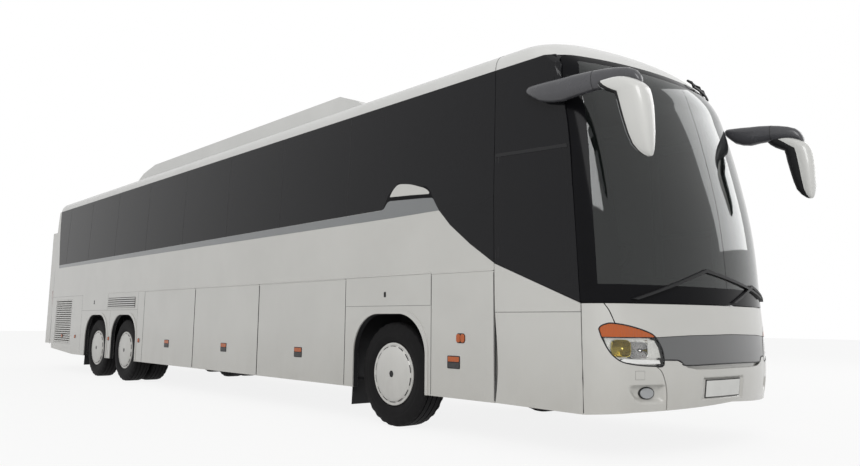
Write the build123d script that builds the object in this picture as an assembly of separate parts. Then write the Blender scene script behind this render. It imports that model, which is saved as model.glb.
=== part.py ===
from build123d import *
import math
import os

os.makedirs("parts", exist_ok=True)

# A three-axle touring coach. Lengths are in millimetres. X is across the coach, the front faces -Y
# and Z is up. Places along the coach are measured from the front axle, positive towards the rear,
# and save() moves them so that the origin lies on the ground at the middle of the overall box.

# ---------------------------------------------------------------- driving dimensions
# overall reach, from the front axle
mirror_front = -3065                 # foremost point, the faces of the mirrors
box_rear = 12150                     # rearmost point, the doors of the rear luggage box
front_axle_y = -(mirror_front + box_rear) / 2

# body envelope
half_width = 1275
sill_z = 345                         # underside of the body sides
belt_z = 2106                        # lower edge of the side glass
roof_seam_z = 3250                   # upper edge of the side glass
shoulder_half = half_width - 37      # the glass leans in by this up to the shoulder
shoulder_z = 3265                    # where the leaning glass ends and the rounded shoulder starts
cove_half = half_width - 175         # half width where the roof crown starts
shoulder_bulge = (27, 20)            # how far the shoulder arc stands off its chord, across and up
cove_z = 3420
crown_z = 3570
wall = 60
glass = 18
seam = 6                             # open joint round a moving panel
front_bow = 348                      # how far the sides of the front lie behind its middle
front_corner = 330
rear_corner = 140
corner_over = 6                      # plan outlines stand proud of the flat sides by this

# front and rear faces at the middle of the coach: height, front y, rear y
FACE = [
    (250, -2815, 11120),
    (630, -2870, 11230),
    (1190, -2850, 11320),
    (1760, -2820, 11375),
    (2220, -2750, 11385),
    (2850, -2600, 11360),
    (3160, -2470, 11330),
    (3420, -2150, 11260),
    (3660, -1550, 11120),
]

# seams of the sides, from the front axle
cab_seam = -1420                     # rear edge of the driver's section
flap_front_seam = -610               # rear edge of the small flap ahead of the front wheel
bay_front = 750                      # front edge of the luggage bay
bay_rear = 6270
rear_seam = 11200                    # side wall to rear panel
tail_rise = 9720                     # the sill climbs behind this point
tail_z = 480
tail_drop = 20                       # the side walls reach this much higher at the rear end
windscreen_z = 1170                  # lower edge of the windscreen
windscreen_top = 3190

# glass outline on each side: (y, z)
SWOOP = [(-2320, 1176), (-1426, 1522), (-1127, 1705), (-866, 1899), (-709, 2055)]
FIN = [(-578, 2224), (-512, 2290), (-101, 2378), (33, 2277), (119, 2142)]
A_PILLAR = [(-2320, 1176), (-2300, 1580), (-2280, 1970), (-2250, 2380), (-2220, 2630), (-2170, 2890),
            (-2130, 3140), (-2100, 3190)]
GLASS_TAIL = [(10938, belt_z), (11080, 2600), (11150, 2950), (11180, roof_seam_z)]

# windows between the pillars, behind the side glass
pillar_pitch = 1380
pillar_width = 110
first_pillar = -610
window_count = 8
window_low = belt_z + 60
window_high = roof_seam_z - 90

# wheels and axles
hub_z = 505
tyre_radius = 505
tyre_width = 295
bead_radius = 286
bead_gap = 0.3
tyre_facets = 36
tyre_outer_x = half_width - 40       # outer face of every outside tyre
twin_pitch = 325
axle_front, axle_drive, axle_tag = 0, 7110, 8460
kingpin_x = tyre_outer_x - 285
arch_top = 1090
arch_radius = 400
arch_lip = 36                        # width of the raised lip round an arch
lip_stand = 9                        # how far it stands off the wall
ARCHES = [(-540, 590), (6550, 7670), (7900, 9020)]
housing_inner_x = 560
housing_top = 1140
housing_plate = 10

# luggage flaps: name, side, front y, rear y
flap_depth = 50
flap_gap = 5                         # open joint round a flap
flap_top = 1460                      # hinge line, along the trim rail
hinge_radius = 5
pin_gap = 0.4
flap_pin_z = flap_top - 1            # the pin is let into the edge of the wall
FLAPS = [
    ("flap_right_front", -1, cab_seam, flap_front_seam),
    ("flap_right_1", -1, bay_front, 2600),
    ("flap_right_2", -1, 2600, 4420),
    ("flap_right_3", -1, 4420, bay_rear),
    ("flap_left_front", 1, cab_seam, flap_front_seam),
    ("flap_left_1", 1, bay_front, 2800),
    ("flap_left_2", 1, 2800, 4850),
]

# passenger doors on the left side: name, post end (-1 front, 1 rear), floor under the post,
# heights of the lower and upper arm, low edge of the glass, outline as (y, z)
door_foot = 362
DOORS = [
    ("front_door", -1, 400, (600, 1900), 1250,
     [(-2200, door_foot), (-1432, door_foot), (-1432, 2900), (-2090, 2900), (-2200, 2100)]),
    ("mid_door", 1, 450, (600, 1900), 1400,
     [(4890, door_foot), (5740, door_foot), (5740, 2090), (4890, 2090)]),
]
door_stile = 76
arm_bar = 30
arm_height = 40
post_radius = 20
post_x = half_width - 125
post_inset = 60                      # post axis from the edge of the door
eye_radius = 26
door_pin = 9
lug_thickness = 16

# floors
deck_top = 1500
deck_depth = 60
deck_front = -1300
cab_floor = 1000
tray_top = 450
tray_depth = 50
inner_half = half_width - wall
bay_half = inner_half - 10
bulkhead = 60
rail_x = (380, 460)

# towing jaw under the front cross member
tow_y = -2480
tow_z = (400, 460)
tow_radius = 20
tow_half = 60

# seats
seat_pitch = 790
seat_first = -700
seat_rows = 14
seat_half = (255, half_width - 110)  # from the aisle to the window

# roof unit and hatches
unit_half = half_width - 325
unit_top = 3690
UNIT_SIDE = [(850, 3430), (1080, 3570), (1420, unit_top), (7000, unit_top), (7500, 3600), (7900, 3430)]
hatch_half = 330
hatch_length = 700
hatch_curb = 30                      # width of the raised edge round the hole
hatch_seat = crown_z + 20            # top of that edge
hatch_lip = 15
hatch_depth = 34
HATCHES = [("roof_hatch_front", -350), ("roof_hatch_rear", 9000)]

wiper_stand = 22                     # how far the wipers stand off the glass

# left mirror head from below: height, inner x, outer x, front y, rear y
MIRROR_HEAD = [
    (2210, 1320, 1360, -3010, -2960),
    (2400, 1295, 1440, -3050, -2850),
    (2600, 1290, 1485, mirror_front, -2800),
    (2800, 1290, 1490, -3040, -2720),
    (2860, 1290, 1400, -2990, -2800),
]

# engine grilles, one in each side
GRILLE_Y, GRILLE_Z = (9900, 10930), (530, 1390)
grille_frame = 26
grille_depth = 40
grille_back = 4                      # the slats lie this far behind the outside
slat_pitch, slat_height = 46, 14

# front lamps, plate and rear lamps: outline of the left headlamp as (x, z)
LAMP_TOP = [(1255, 940), (1180, 1016), (868, 918)]
LAMP_INNER = [(868, 918), (826, 830), (808, 724)]
LAMP_LOW = [(815, 694), (1060, 702), (1238, 840)]
plate_half = 290                     # recess for the number plate
plate_z = (435, 590)
plate_recess = 10
tail_lamp_x = half_width - 115
tail_lamp_y = 11225
tail_lamp_z = (1005, 1590)
rear_glass_half = 980
rear_glass_z = (2100, 3120)
glass_seat = 50                      # width of the frame behind the edge of a bonded pane

# openings of the cab: windscreen and driver's window as (y, z)
screen_hole_half = half_width - 185
screen_hole_z = (1260, 3080)
CAB_WINDOW = [(-2240, 1300), (-1500, 1580), (-1500, 3120), (-2070, 3120), (-2200, 2300)]
first_window = 180                   # the first saloon window starts behind the fin

# steps: entry beside the driver as (x limits, top), going down to the door
step_plate = 40
step_rise = 300
step_wall = 30
cab_split = 60                       # the driver's platform ends and the entry starts here
platform_front = -2500
platform_corner = (-950, -2300)      # its outer front corner is cut off from here to here
ENTRY = [((cab_split, 470), cab_floor), ((470, 810), cab_floor - step_rise),
         ((810, half_width - 85), cab_floor - 2 * step_rise)]
entry_front = -2260
mid_step_count, mid_step_run, mid_step_drop = 4, 160, 250
mid_step_wall = 20
mid_well_x = 450
well_wall = 30

# frame: front y, rear y, low z, high z of each length of rail, and the cross members as (y, low, high)
frame_front, frame_rear = -2400, 11000
front_rail, mid_rail, rear_rail = (640, 800), (sill_z, tray_top - tray_depth), (740, 900)
member = 80                          # a cross member along the coach
CROSS = [(-1250, front_rail), (1800, mid_rail), (3600, mid_rail), (5200, mid_rail), (6450, rear_rail),
         (9300, rear_rail), (10900, rear_rail)]
outrigger_end = inner_half - 200
post_side = 10                       # a post is this much narrower than its rail on each side
CARRIERS = [(frame_front, front_rail, cab_floor - 50), (-1250, front_rail, deck_top - deck_depth),
            (9200, rear_rail, deck_top - deck_depth), (10850, rear_rail, deck_top - deck_depth)]

# wheel housings and axles
housing_low = sill_z + 60
axle_slot = 230                      # half width of the notch round an axle
HOUSINGS = [(-600, bay_front - bulkhead - housing_plate, [axle_front]),
            (6500, 9080, [axle_drive, axle_tag])]
axle_seat = 60                       # half width of a beam's seat under the rails
beam_half = (50, 60)                 # half width and half height of the front beam
beam_eye = 45                        # radius of the eyes at its ends
TUBES = [(axle_drive, 85, 560), (axle_tag, 75, 800)]   # y, radius and half length of the rear axle tubes
differential = (170, 210)            # half length and radius of the casing on the drive axle
kingpin_radius = 20
eye_half = 85
spindle_front, spindle_rear = 40, 60
spindle_gap = 0.5                    # round a spindle, in the hub

# engine: the main block and its mounting
ENGINE = (450, (9500, 10700), (560, 1380))
engine_mount_y = (9900, 10200)

# seats: outlines as (y from the front of the cushion, z over the floor)
SEAT = [(0, 0), (300, 0), (300, 300), (560, 300), (690, 1150), (600, 1150), (470, 440), (20, 440), (0, 400)]
DRIVER_SEAT = [(0, 0), (300, 0), (300, 350), (440, 380), (540, 1180), (450, 1180), (350, 500), (-40, 480),
               (-40, 380)]
driver_seat_x, driver_seat_y = (-980, -480), -1900
door_room = 700                      # seats ahead of the middle door are left out over this length

# dashboard and steering wheel
DASH = [(-2420, cab_floor), (-2300, cab_floor), (-2300, 1290), (-2240, 1380), (-2420, 1400), (-2640, 1300),
        (-2640, 1240), (-2420, 1240)]
dash_x = (-1100, 700)
wheel_centre = (-730, -2200, 1500)
wheel_tilt = (0, 0.69, 0.72)
column_low = (-730, -2340, 1290)
column_radius = 35
rim_size = (225, 16)                 # radii of the steering wheel's rim and of its section
spoke_size = (40, 20)                # width and thickness of the bar across it

# luggage racks over the seats: section as (x, z)
RACK = [(inner_half, 3120), (inner_half, 2990), (760, 2950), (700, 3010), (700, 3050), (770, 2980),
        (1140, 3015), (1140, 3120)]
rack_y = (-1150, 11050)

# wipers: outline in the (x, z) plane of the arm and blade of each
WIPERS = [
    [(-1050, 1200), (-1010, 1195), (-300, 1425), (860, 1245), (866, 1262), (-298, 1452)],
    [(60, 1195), (100, 1190), (520, 1330), (1120, 1230), (1126, 1247), (520, 1356)],
]
# pod of a mirror as (y, z), from the side of the roof to the head
MIRROR_POD = [(-1800, 2975), (-2350, 2925), (-2900, 2830), (-2960, 2850), (-2960, 2900), (-2350, 3020)]
pod_out = half_width + 55

# rear luggage box
box_half = half_width - 175
box_low, box_high = 500, 2870
box_front = 11470
box_wall = 40
box_door_depth = 40
carrier_bar = 80                     # section of the bars that carry the box
carrier_z = (700, 1500)
carrier_x = box_half - 300

# ---------------------------------------------------------------- helpers


def block(x, y, z):
    """A box between three pairs of limits."""
    middle = [(pair[0] + pair[1]) / 2 for pair in (x, y, z)]
    size = [abs(pair[1] - pair[0]) for pair in (x, y, z)]
    return Pos(*middle) * Box(*size)


def side_prism(outline, x):
    """An outline of (y, z) points, extruded between two x places."""
    face = make_face(Polyline(*[(x[0], y, z) for y, z in outline], close=True))
    return extrude(face, amount=x[1] - x[0], dir=(1, 0, 0))


def cross_prism(outline, y):
    """An outline of (x, z) points, extruded between two y places."""
    face = make_face(Polyline(*[(x, y[0], z) for x, z in outline], close=True))
    return extrude(face, amount=y[1] - y[0], dir=(0, 1, 0))


def floor_prism(outline, z):
    """An outline of (x, y) points, extruded between two heights."""
    face = make_face(Polyline(*[(x, y, z[0]) for x, y in outline], close=True))
    return extrude(face, amount=z[1] - z[0], dir=(0, 0, 1))


def rod(start, end, radius):
    """A round bar between two points."""
    axis = Vector(*end) - Vector(*start)
    return Plane(origin=start, z_dir=axis) * Cylinder(
        radius, axis.length, align=(Align.CENTER, Align.CENTER, Align.MIN))


def flip(shape, side):
    """The shape as drawn for the left side (+X), or its mirror image for the right side."""
    return shape if side > 0 else mirror(shape, about=Plane.YZ)


def both(shape):
    """The shape and its mirror image."""
    return [shape, mirror(shape, about=Plane.YZ)]


def save(node, *shapes):
    """Write one node, moved to the coach's own origin."""
    solids = [solid for shape in shapes for solid in shape.solids()]
    export_step(Pos(0, front_axle_y, 0) * Compound(children=solids), f"parts/{node}.step")


# ---------------------------------------------------------------- body envelope


def plan_outline(inset, z, front, rear):
    """The coach from above at one height: bowed front, rounded corners, flat rear."""
    half = half_width + corner_over - inset
    y0, y1 = front + inset, rear - inset
    face = make_face([
        ThreePointArc((half, y0 + front_bow, z), (0, y0, z), (-half, y0 + front_bow, z)),
        Line((-half, y0 + front_bow, z), (-half, y1, z)),
        Line((-half, y1, z), (half, y1, z)),
        Line((half, y1, z), (half, y0 + front_bow, z)),
    ])
    face = fillet(face.vertices().sort_by(Axis.Y)[:2], front_corner - inset)
    return fillet(face.vertices().sort_by(Axis.Y)[-2:], rear_corner - inset)


def cross_section(inset):
    """The coach from the front: flat sides, leaning glass, rounded shoulders, crowned roof."""
    side, shoulder, cove = half_width - inset, shoulder_half - inset, cove_half - inset / 2
    cove_top, crown = cove_z - inset, crown_z - inset
    bulge_x = (shoulder + cove) / 2 + shoulder_bulge[0]
    bulge_z = (shoulder_z + cove_top) / 2 + shoulder_bulge[1]
    y = FACE[0][1] - half_width
    return make_face([
        Line((-side, y, sill_z - inset), (side, y, sill_z - inset)),
        Line((side, y, sill_z - inset), (side, y, belt_z)),
        Line((side, y, belt_z), (shoulder, y, shoulder_z)),
        ThreePointArc((shoulder, y, shoulder_z), (bulge_x, y, bulge_z), (cove, y, cove_top)),
        ThreePointArc((cove, y, cove_top), (0, y, crown), (-cove, y, cove_top)),
        ThreePointArc((-cove, y, cove_top), (-bulge_x, y, bulge_z), (-shoulder, y, shoulder_z)),
        Line((-shoulder, y, shoulder_z), (-side, y, belt_z)),
        Line((-side, y, belt_z), (-side, y, sill_z - inset)),
    ])


def envelope(inset):
    """The closed outer form of the body, moved inwards by inset."""
    plan = loft([plan_outline(inset, z, front, rear) for z, front, rear in FACE], ruled=True)
    length = FACE[-1][2] - FACE[0][1] + 2 * half_width
    return plan & extrude(cross_section(inset), amount=length, dir=(0, 1, 0))


outer = envelope(0)
behind_glass = envelope(glass)
inner = envelope(wall)
shell = outer - inner
glass_layer = outer - behind_glass
frame_layer = behind_glass - inner

far = 3 * half_width
everything = (-far, far)
front_end = FACE[0][1] - half_width
rear_end = FACE[-1][2] + half_width
head_room = crown_z + wall


def arch(front, rear, grow, x):
    """A wheel opening: straight legs, rounded shoulders, flat top. It is grown upwards by grow."""
    r, low, top = arch_radius, 0, arch_top + grow
    diagonal = r * (1 - 0.5 ** 0.5)
    face = make_face([
        Line((x[0], front, low), (x[0], front, top - r)),
        ThreePointArc((x[0], front, top - r), (x[0], front + diagonal, top - diagonal),
                      (x[0], front + r, top)),
        Line((x[0], front + r, top), (x[0], rear - r, top)),
        ThreePointArc((x[0], rear - r, top), (x[0], rear - diagonal, top - diagonal),
                      (x[0], rear, top - r)),
        Line((x[0], rear, top - r), (x[0], rear, low)),
        Line((x[0], rear, low), (x[0], front, low)),
    ])
    return extrude(face, amount=x[1] - x[0], dir=(1, 0, 0))


# ---------------------------------------------------------------- glass

saloon_outline = (
    [(cab_seam + seam / 2, SWOOP[1][1]), *SWOOP[2:], *FIN, GLASS_TAIL[0], *GLASS_TAIL[1:]]
    + [(cab_seam + seam / 2, roof_seam_z)])
cab_outline = ([SWOOP[0], (cab_seam - seam / 2, SWOOP[1][1]), (cab_seam - seam / 2, roof_seam_z)]
               + [(A_PILLAR[-1][0], roof_seam_z)] + A_PILLAR[:0:-1])
screen_outline = ([(front_end, windscreen_z)] + [(y - seam, z) for y, z in A_PILLAR]
                  + [(front_end, windscreen_top)])

saloon_glass = glass_layer & side_prism(saloon_outline, (-far, 0))
saloon_glass_left = mirror(saloon_glass, about=Plane.YZ)
cab_glass = glass_layer & side_prism(cab_outline, (-far, 0))
cab_glass_left = mirror(cab_glass, about=Plane.YZ)
windscreen = glass_layer & side_prism(screen_outline, everything)
rear_glass = glass_layer & block((-rear_glass_half, rear_glass_half), (rear_seam, rear_end), rear_glass_z)

# ---------------------------------------------------------------- passenger doors


def door_zone(outline, grow=0):
    """The space of a door in the left wall, grown by the open joint."""
    middle_y = (outline[0][0] + outline[1][0]) / 2
    grown = [(y + grow if y > middle_y else y - grow, z + grow if z > deck_top else z - 2 * grow)
             for y, z in outline]
    return side_prism(grown, (0, far))


def door_arm(post_y, eye_y, floor_z, levels):
    """An upright post with two arms, each ending in an eye under a lug of the door."""
    arm = rod((post_x, post_y, floor_z + pin_gap), (post_x, post_y, levels[1] + 2 * arm_height),
              post_radius)
    for level in levels:
        arm = arm + block((post_x - arm_bar / 2, post_x + arm_bar / 2), sorted((post_y, eye_y)),
                          (level, level + arm_height))
        arm = arm + rod((post_x, eye_y, level), (post_x, eye_y, level + arm_height), eye_radius)
        arm = arm - rod((post_x, eye_y, level - arm_height), (post_x, eye_y, level + 2 * arm_height),
                        door_pin + pin_gap)
    return arm


def door_lugs(eye_y, levels):
    """The plates inside the door, each with the pin that its arm turns on."""
    lugs = []
    for level in levels:
        low = level + arm_height + pin_gap
        plate = block((post_x - eye_radius, half_width - wall / 2),
                      (eye_y - eye_radius, eye_y + eye_radius), (low, low + lug_thickness))
        pin = rod((post_x, eye_y, level), (post_x, eye_y, low + lug_thickness), door_pin)
        lugs.append(plate + pin)
    return lugs


def pane_outline(outline, glass_low, inset, low_inset):
    """The upper part of a door's outline, moved inwards."""
    front, rear = outline[0][0], outline[1][0]
    upper = [(y + (inset if y < rear - 1 else -inset), z - inset) for y, z in outline if z > deck_top]
    return [(front + inset, glass_low + low_inset), (rear - inset, glass_low + low_inset)] + upper


door_openings = [door_zone(outline, seam) for *_, outline in DOORS]
cab_glass_left = cab_glass_left - door_openings[0]

for name, end, floor_z, levels, glass_low, outline in DOORS:
    front, rear = outline[0][0], outline[1][0]
    pane_zone = side_prism(pane_outline(outline, glass_low, door_stile / 2, 0), (0, far))
    hole_zone = side_prism(pane_outline(outline, glass_low, door_stile, door_stile / 2), (0, far))
    leaf = ((shell & door_zone(outline)) - pane_zone) + ((frame_layer & pane_zone) - hole_zone)
    post_y = front + post_inset if end < 0 else rear - post_inset
    eye_y = rear - door_stile / 2 if end < 0 else front + door_stile / 2
    for lug in door_lugs(eye_y, levels):
        leaf = leaf + lug
    save(name, leaf)
    save(f"{name}_glass", glass_layer & pane_zone)
    save(f"{name}_arm", door_arm(post_y, eye_y, floor_z, levels))

# ---------------------------------------------------------------- side walls


def flap_zone(side, front, rear):
    """The space of a luggage flap in one side."""
    return flip(block((0, far), (front, rear), (0, flap_top)), side)


def side_wall(side, panes, openings):
    """One side of the saloon below the roof seam, with its pillars behind the glass."""
    zone = flip(block((shoulder_half - 2 * wall, far), (cab_seam + seam / 2, rear_seam),
                      (sill_z, roof_seam_z)), side)
    panel = (shell & zone) - panes
    for number in range(window_count):
        low = first_pillar + number * pillar_pitch + pillar_width if number else first_window
        high = first_pillar + (number + 1) * pillar_pitch
        panel = panel - flip(block((0, far), (low, high), (window_low, window_high)), side)
    for _, flap_side, front, rear in FLAPS:
        if flap_side == side:
            panel = panel - flap_zone(side, front, rear)
    above_sill = flip(block((0, far), (cab_seam, rear_seam), (sill_z, flap_top)), side)
    for front, rear in ARCHES:
        lip = arch(front - arch_lip, rear + arch_lip, arch_lip,
                   (half_width - wall, half_width + lip_stand))
        panel = (panel + (flip(lip, side) & above_sill)) - flip(arch(front, rear, 0, (0, far)), side)
    panel = panel - flip(grille_zone, side)
    for opening in openings:
        panel = panel - opening
    tail = side_prism([(tail_rise, 0), (rear_end, 0), (rear_end, tail_z + tail_drop), (tail_rise, sill_z)],
                      everything)
    panel = panel - tail
    # the pin of the piano hinge along the lower edge, over every flap
    for _, flap_side, front, rear in FLAPS:
        if flap_side == side:
            panel = panel + rod((side * half_width, front + 3 * seam, flap_pin_z),
                                (side * half_width, rear - 3 * seam, flap_pin_z), hinge_radius)
    return panel


grille_zone = block((half_width - 2 * wall, far), GRILLE_Y, GRILLE_Z)


def engine_grille():
    """The grille of the left wall, flush with the outside: a frame with level slats."""
    x = (half_width - grille_depth, half_width - grille_back)
    grille = block(x, GRILLE_Y, GRILLE_Z)
    grille = grille - block((0, far), (GRILLE_Y[0] + grille_frame, GRILLE_Y[1] - grille_frame),
                            (GRILLE_Z[0] + grille_frame, GRILLE_Z[1] - grille_frame))
    z = GRILLE_Z[0] + slat_pitch
    while z < GRILLE_Z[1] - grille_frame:
        grille = grille + block(x, (GRILLE_Y[0] + grille_frame / 2, GRILLE_Y[1] - grille_frame / 2),
                                (z, z + slat_height))
        z += slat_pitch
    return grille


save("engine_grilles", *both(engine_grille()))
save("side_wall_right", side_wall(-1, saloon_glass, []))
save("side_wall_left", side_wall(1, saloon_glass_left, door_openings))
save("side_glass", saloon_glass, saloon_glass_left, cab_glass, cab_glass_left)
save("windscreen", windscreen)
save("rear_window", rear_glass)

for name, side, front, rear in FLAPS:
    panel = block((half_width - flap_depth, half_width), (front + flap_gap, rear - flap_gap),
                  (sill_z, flap_top - flap_gap))
    groove = rod((half_width, front, flap_pin_z), (half_width, rear, flap_pin_z),
                 hinge_radius + pin_gap)
    save(name, flip(panel - groove, side))

# ---------------------------------------------------------------- front, cab frame, rear, roof


def lamp_zone():
    """The headlamp's outline on the left side, reaching back through the front."""
    corners = [(x, front_end, z) for x, z in (LAMP_TOP[0], LAMP_TOP[2], LAMP_INNER[2], LAMP_LOW[0],
                                              LAMP_LOW[2])]
    arcs = [ThreePointArc(*[(x, front_end, z) for x, z in row]) for row in (LAMP_TOP, LAMP_INNER, LAMP_LOW)]
    face = make_face([arcs[0], arcs[1], Line(corners[2], corners[3]), arcs[2], Line(corners[4], corners[0])])
    return extrude(face, amount=front_corner - front_end, dir=(0, 1, 0))


front_outline = [(front_end, 0), (cab_seam, 0), (cab_seam, SWOOP[1][1]), SWOOP[0],
                 (front_end, windscreen_z)]
headlamp = glass_layer & (lamp_zone() & block(everything, (front_end, A_PILLAR[0][0]), (0, head_room)))
headlamps = both(headlamp)
plate_zone = block((-plate_half, plate_half), (front_end, 0), plate_z) - envelope(plate_recess)
front_panel = (shell & side_prism(front_outline, everything)) - door_openings[0]
for lamp in headlamps:
    front_panel = front_panel - lamp
save("front_panel", front_panel - plate_zone)
save("front_lamps", *headlamps)

frame_zone = side_prism([(front_end, windscreen_z), SWOOP[0], (cab_seam, SWOOP[1][1]),
                         (cab_seam, roof_seam_z), (front_end, roof_seam_z)], everything)
cab_frame = (frame_layer & frame_zone) - door_openings[0]
cab_frame = cab_frame - block((-screen_hole_half, screen_hole_half), (front_end, A_PILLAR[0][0]),
                              screen_hole_z)
cab_frame = cab_frame - side_prism(CAB_WINDOW, (-far, 0))
cab_frame = cab_frame & side_prism([(front_end, 0), (cab_seam, 0), (cab_seam, roof_seam_z),
                                    (A_PILLAR[-1][0], roof_seam_z),
                                    (A_PILLAR[-1][0], windscreen_top),
                                    (front_end, windscreen_top)], everything)
save("cab_frame", cab_frame)

roof_outline = [(front_end, windscreen_top), (A_PILLAR[-1][0], windscreen_top),
                (A_PILLAR[-1][0], roof_seam_z), (rear_end, roof_seam_z), (rear_end, head_room),
                (front_end, head_room)]
roof = shell & side_prism(roof_outline, everything)
for name, y in HATCHES:
    hole = block((-hatch_half, hatch_half), (y, y + hatch_length), (roof_seam_z, head_room))
    curb = block((-hatch_half - hatch_curb, hatch_half + hatch_curb),
                 (y - hatch_curb, y + hatch_length + hatch_curb), (crown_z - wall, hatch_seat))
    roof = (roof + (curb - inner)) - hole
    rim = hatch_curb + hatch_lip
    save(name, block((-hatch_half - rim, hatch_half + rim), (y - rim, y + hatch_length + rim),
                     (hatch_seat + pin_gap, hatch_seat + hatch_depth)))
save("roof", roof)

rear_panel = (shell & block(everything, (rear_seam, rear_end), (tail_z, roof_seam_z))) - rear_glass
rear_panel = rear_panel - block((glass_seat - rear_glass_half, rear_glass_half - glass_seat),
                                (rear_seam, rear_end),
                                (rear_glass_z[0] + glass_seat, rear_glass_z[1] - glass_seat))
rear_lamps = both(glass_layer & block((tail_lamp_x, far), (tail_lamp_y, rear_end), tail_lamp_z))
for lamp in rear_lamps:
    rear_panel = rear_panel - lamp
save("rear_panel", rear_panel)
save("rear_lamps", *rear_lamps)

save("roof_unit", side_prism(UNIT_SIDE, (-unit_half, unit_half)) - outer)

# ---------------------------------------------------------------- floors and luggage bay

deck = block((-inner_half, inner_half), (deck_front, rear_seam), (deck_top - deck_depth, deck_top))
mid_y = (DOORS[1][-1][0][0], DOORS[1][-1][1][0])
deck = deck - block((mid_well_x, inner_half), mid_y, (0, deck_top))
riser = block((-inner_half, inner_half), (deck_front - step_wall, deck_front - pin_gap),
              (cab_floor + pin_gap, deck_top))
platform = floor_prism([(cab_split - pin_gap, platform_front), (platform_corner[0], platform_front),
                        (-inner_half, platform_corner[1]), (-inner_half, deck_front),
                        (cab_split - pin_gap, deck_front)],
                       (cab_floor - step_plate - step_wall / 3, cab_floor))

entry = None
for (low, high), top in ENTRY:
    rise_top = top if top == cab_floor else top + step_rise
    step = (block((low, high), (entry_front, deck_front - step_wall - pin_gap), (top - step_plate, top))
            + block((low, low + step_wall), (entry_front, deck_front - step_wall - pin_gap),
                    (top - step_plate, rise_top)))
    entry = step if entry is None else entry + step

mid_entry = None
for number in range(mid_step_count):
    low = mid_well_x + number * mid_step_run
    top = deck_top - (number + 1) * mid_step_drop
    y = (mid_y[0] + 1, mid_y[1] - 1)
    step = (block((low, low + mid_step_run + mid_step_wall), y, (top - step_plate, top))
            + block((low, low + mid_step_wall), y,
                    (top - step_plate, min(top + mid_step_drop, deck_top - deck_depth))))
    mid_entry = step if mid_entry is None else mid_entry + step
save("floor_deck", deck, riser, platform, entry, mid_entry)

bay_top = deck_top - deck_depth
tray = block((-bay_half, bay_half), (bay_front - bulkhead, bay_rear + bulkhead),
             (tray_top - tray_depth, tray_top))
front_bulkhead = block((-bay_half, bay_half), (bay_front - bulkhead, bay_front),
                       (tray_top - tray_depth, bay_top))
rear_bulkhead = block((-bay_half, bay_half), (bay_rear, bay_rear + bulkhead),
                      (tray_top - tray_depth, bay_top))
well_walls = (block((mid_well_x - well_wall, bay_half),
                    (mid_y[0] - well_wall, mid_y[1] + well_wall), (tray_top, bay_top))
              - block((mid_well_x - pin_gap, far), mid_y, (0, deck_top)))
save("luggage_bay", tray + front_bulkhead + rear_bulkhead + well_walls)

# ---------------------------------------------------------------- chassis frame

RAILS = [(frame_front, bay_front - bulkhead, front_rail), (bay_front - bulkhead, bay_rear + bulkhead, mid_rail),
         (bay_rear + bulkhead, frame_rear, rear_rail)]
rails = []
for front, rear, height in RAILS:
    rails += both(block(rail_x, (front, rear), height))
save("chassis_rails", *rails)

members = [block((-rail_x[0], rail_x[0]), (y, y + member), height) for y, height in CROSS]
for y, height, top in CARRIERS:
    members += both(block((rail_x[1], outrigger_end), (y, y + member), height))
    members += both(block((rail_x[0] + post_side, rail_x[1] - post_side), (y, y + member), (height[1], top)))
front_member = block((-rail_x[0], rail_x[0]), (frame_front, frame_front + member), front_rail)
jaw = block((-tow_half, tow_half), (tow_y - tow_half, frame_front + member), tow_z)
jaw = jaw + block((-tow_half, tow_half), (frame_front, frame_front + member), (tow_z[0], front_rail[1]))
jaw = jaw - rod((0, tow_y, tow_z[0] - tow_half), (0, tow_y, tow_z[1] + tow_half), tow_radius)
save("chassis_members", *members, front_member + jaw)

# ---------------------------------------------------------------- wheel housings

housings = []
for front, rear, axles in HOUSINGS:
    outside = block((housing_inner_x - housing_plate, inner_half),
                    (front - housing_plate, rear + housing_plate), (housing_low, housing_top + housing_plate))
    liner = outside - block((housing_inner_x, far), (front, rear), (0, housing_top))
    for y in axles:
        liner = liner - block((0, housing_inner_x), (y - axle_slot, y + axle_slot), (0, hub_z + axle_slot))
    housings += both(liner)
save("wheel_housings", *housings)

# ---------------------------------------------------------------- wheels


def turned(outline, middle_x=0):
    """A solid of revolution round the X axis from (x, radius) points, the x from middle_x."""
    face = make_face(Polyline(*[(middle_x + x, 0, r) for x, r in outline], close=True))
    return revolve(face, axis=Axis.X)


half_tyre = tyre_width / 2
shoulder_r = tyre_radius - 70
# outer half of a tyre: place across it, and radius to the flats of its facets
TYRE = [(34 - half_tyre, bead_radius + 12), (-half_tyre, shoulder_r - 60), (6 - half_tyre, shoulder_r),
        (35 - half_tyre, tyre_radius)]


def tyre_ring(middle_x):
    """A plain tyre with flat facets round the X axis, one of them at the bottom."""
    section = TYRE + [(-x, radius) for x, radius in TYRE[::-1]]
    section += [(-section[0][0], bead_radius + bead_gap), (section[0][0], bead_radius + bead_gap)]
    half_turn = math.pi / tyre_facets
    faces = []
    for number in range(tyre_facets):
        for (x0, r0), (x1, r1) in zip(section, section[1:] + section[:1]):
            corners = [(x0, r0, -1), (x1, r1, -1), (x1, r1, 1), (x0, r0, 1)]
            faces.append(make_face(Polyline(*[
                (middle_x + x, radius * math.sin((2 * number + end) * half_turn) / math.cos(half_turn),
                 -radius * math.cos((2 * number + end) * half_turn) / math.cos(half_turn))
                for x, radius, end in corners], close=True)).face())
    return Solid(Shell(faces))


# wheel: the cover starts behind the tyre's outer face, and the disc lies behind the cover
cover_x = tyre_outer_x - 26
disc_x = cover_x - 75
disc_depth = 25
barrel_wall = 16
barrel_end = 30                      # the barrel ends this far inside the tyre's inner face
hub_radius = 120
hub_depth = 90                       # how far the hub reaches inwards from the disc
COVER = [(0, bead_radius), (2, 304), (12, 300), (24, 255), (32, 190), (38, 0), (32, 0), (26, 190), (18, 250),
         (0, bead_radius - 8)]


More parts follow.
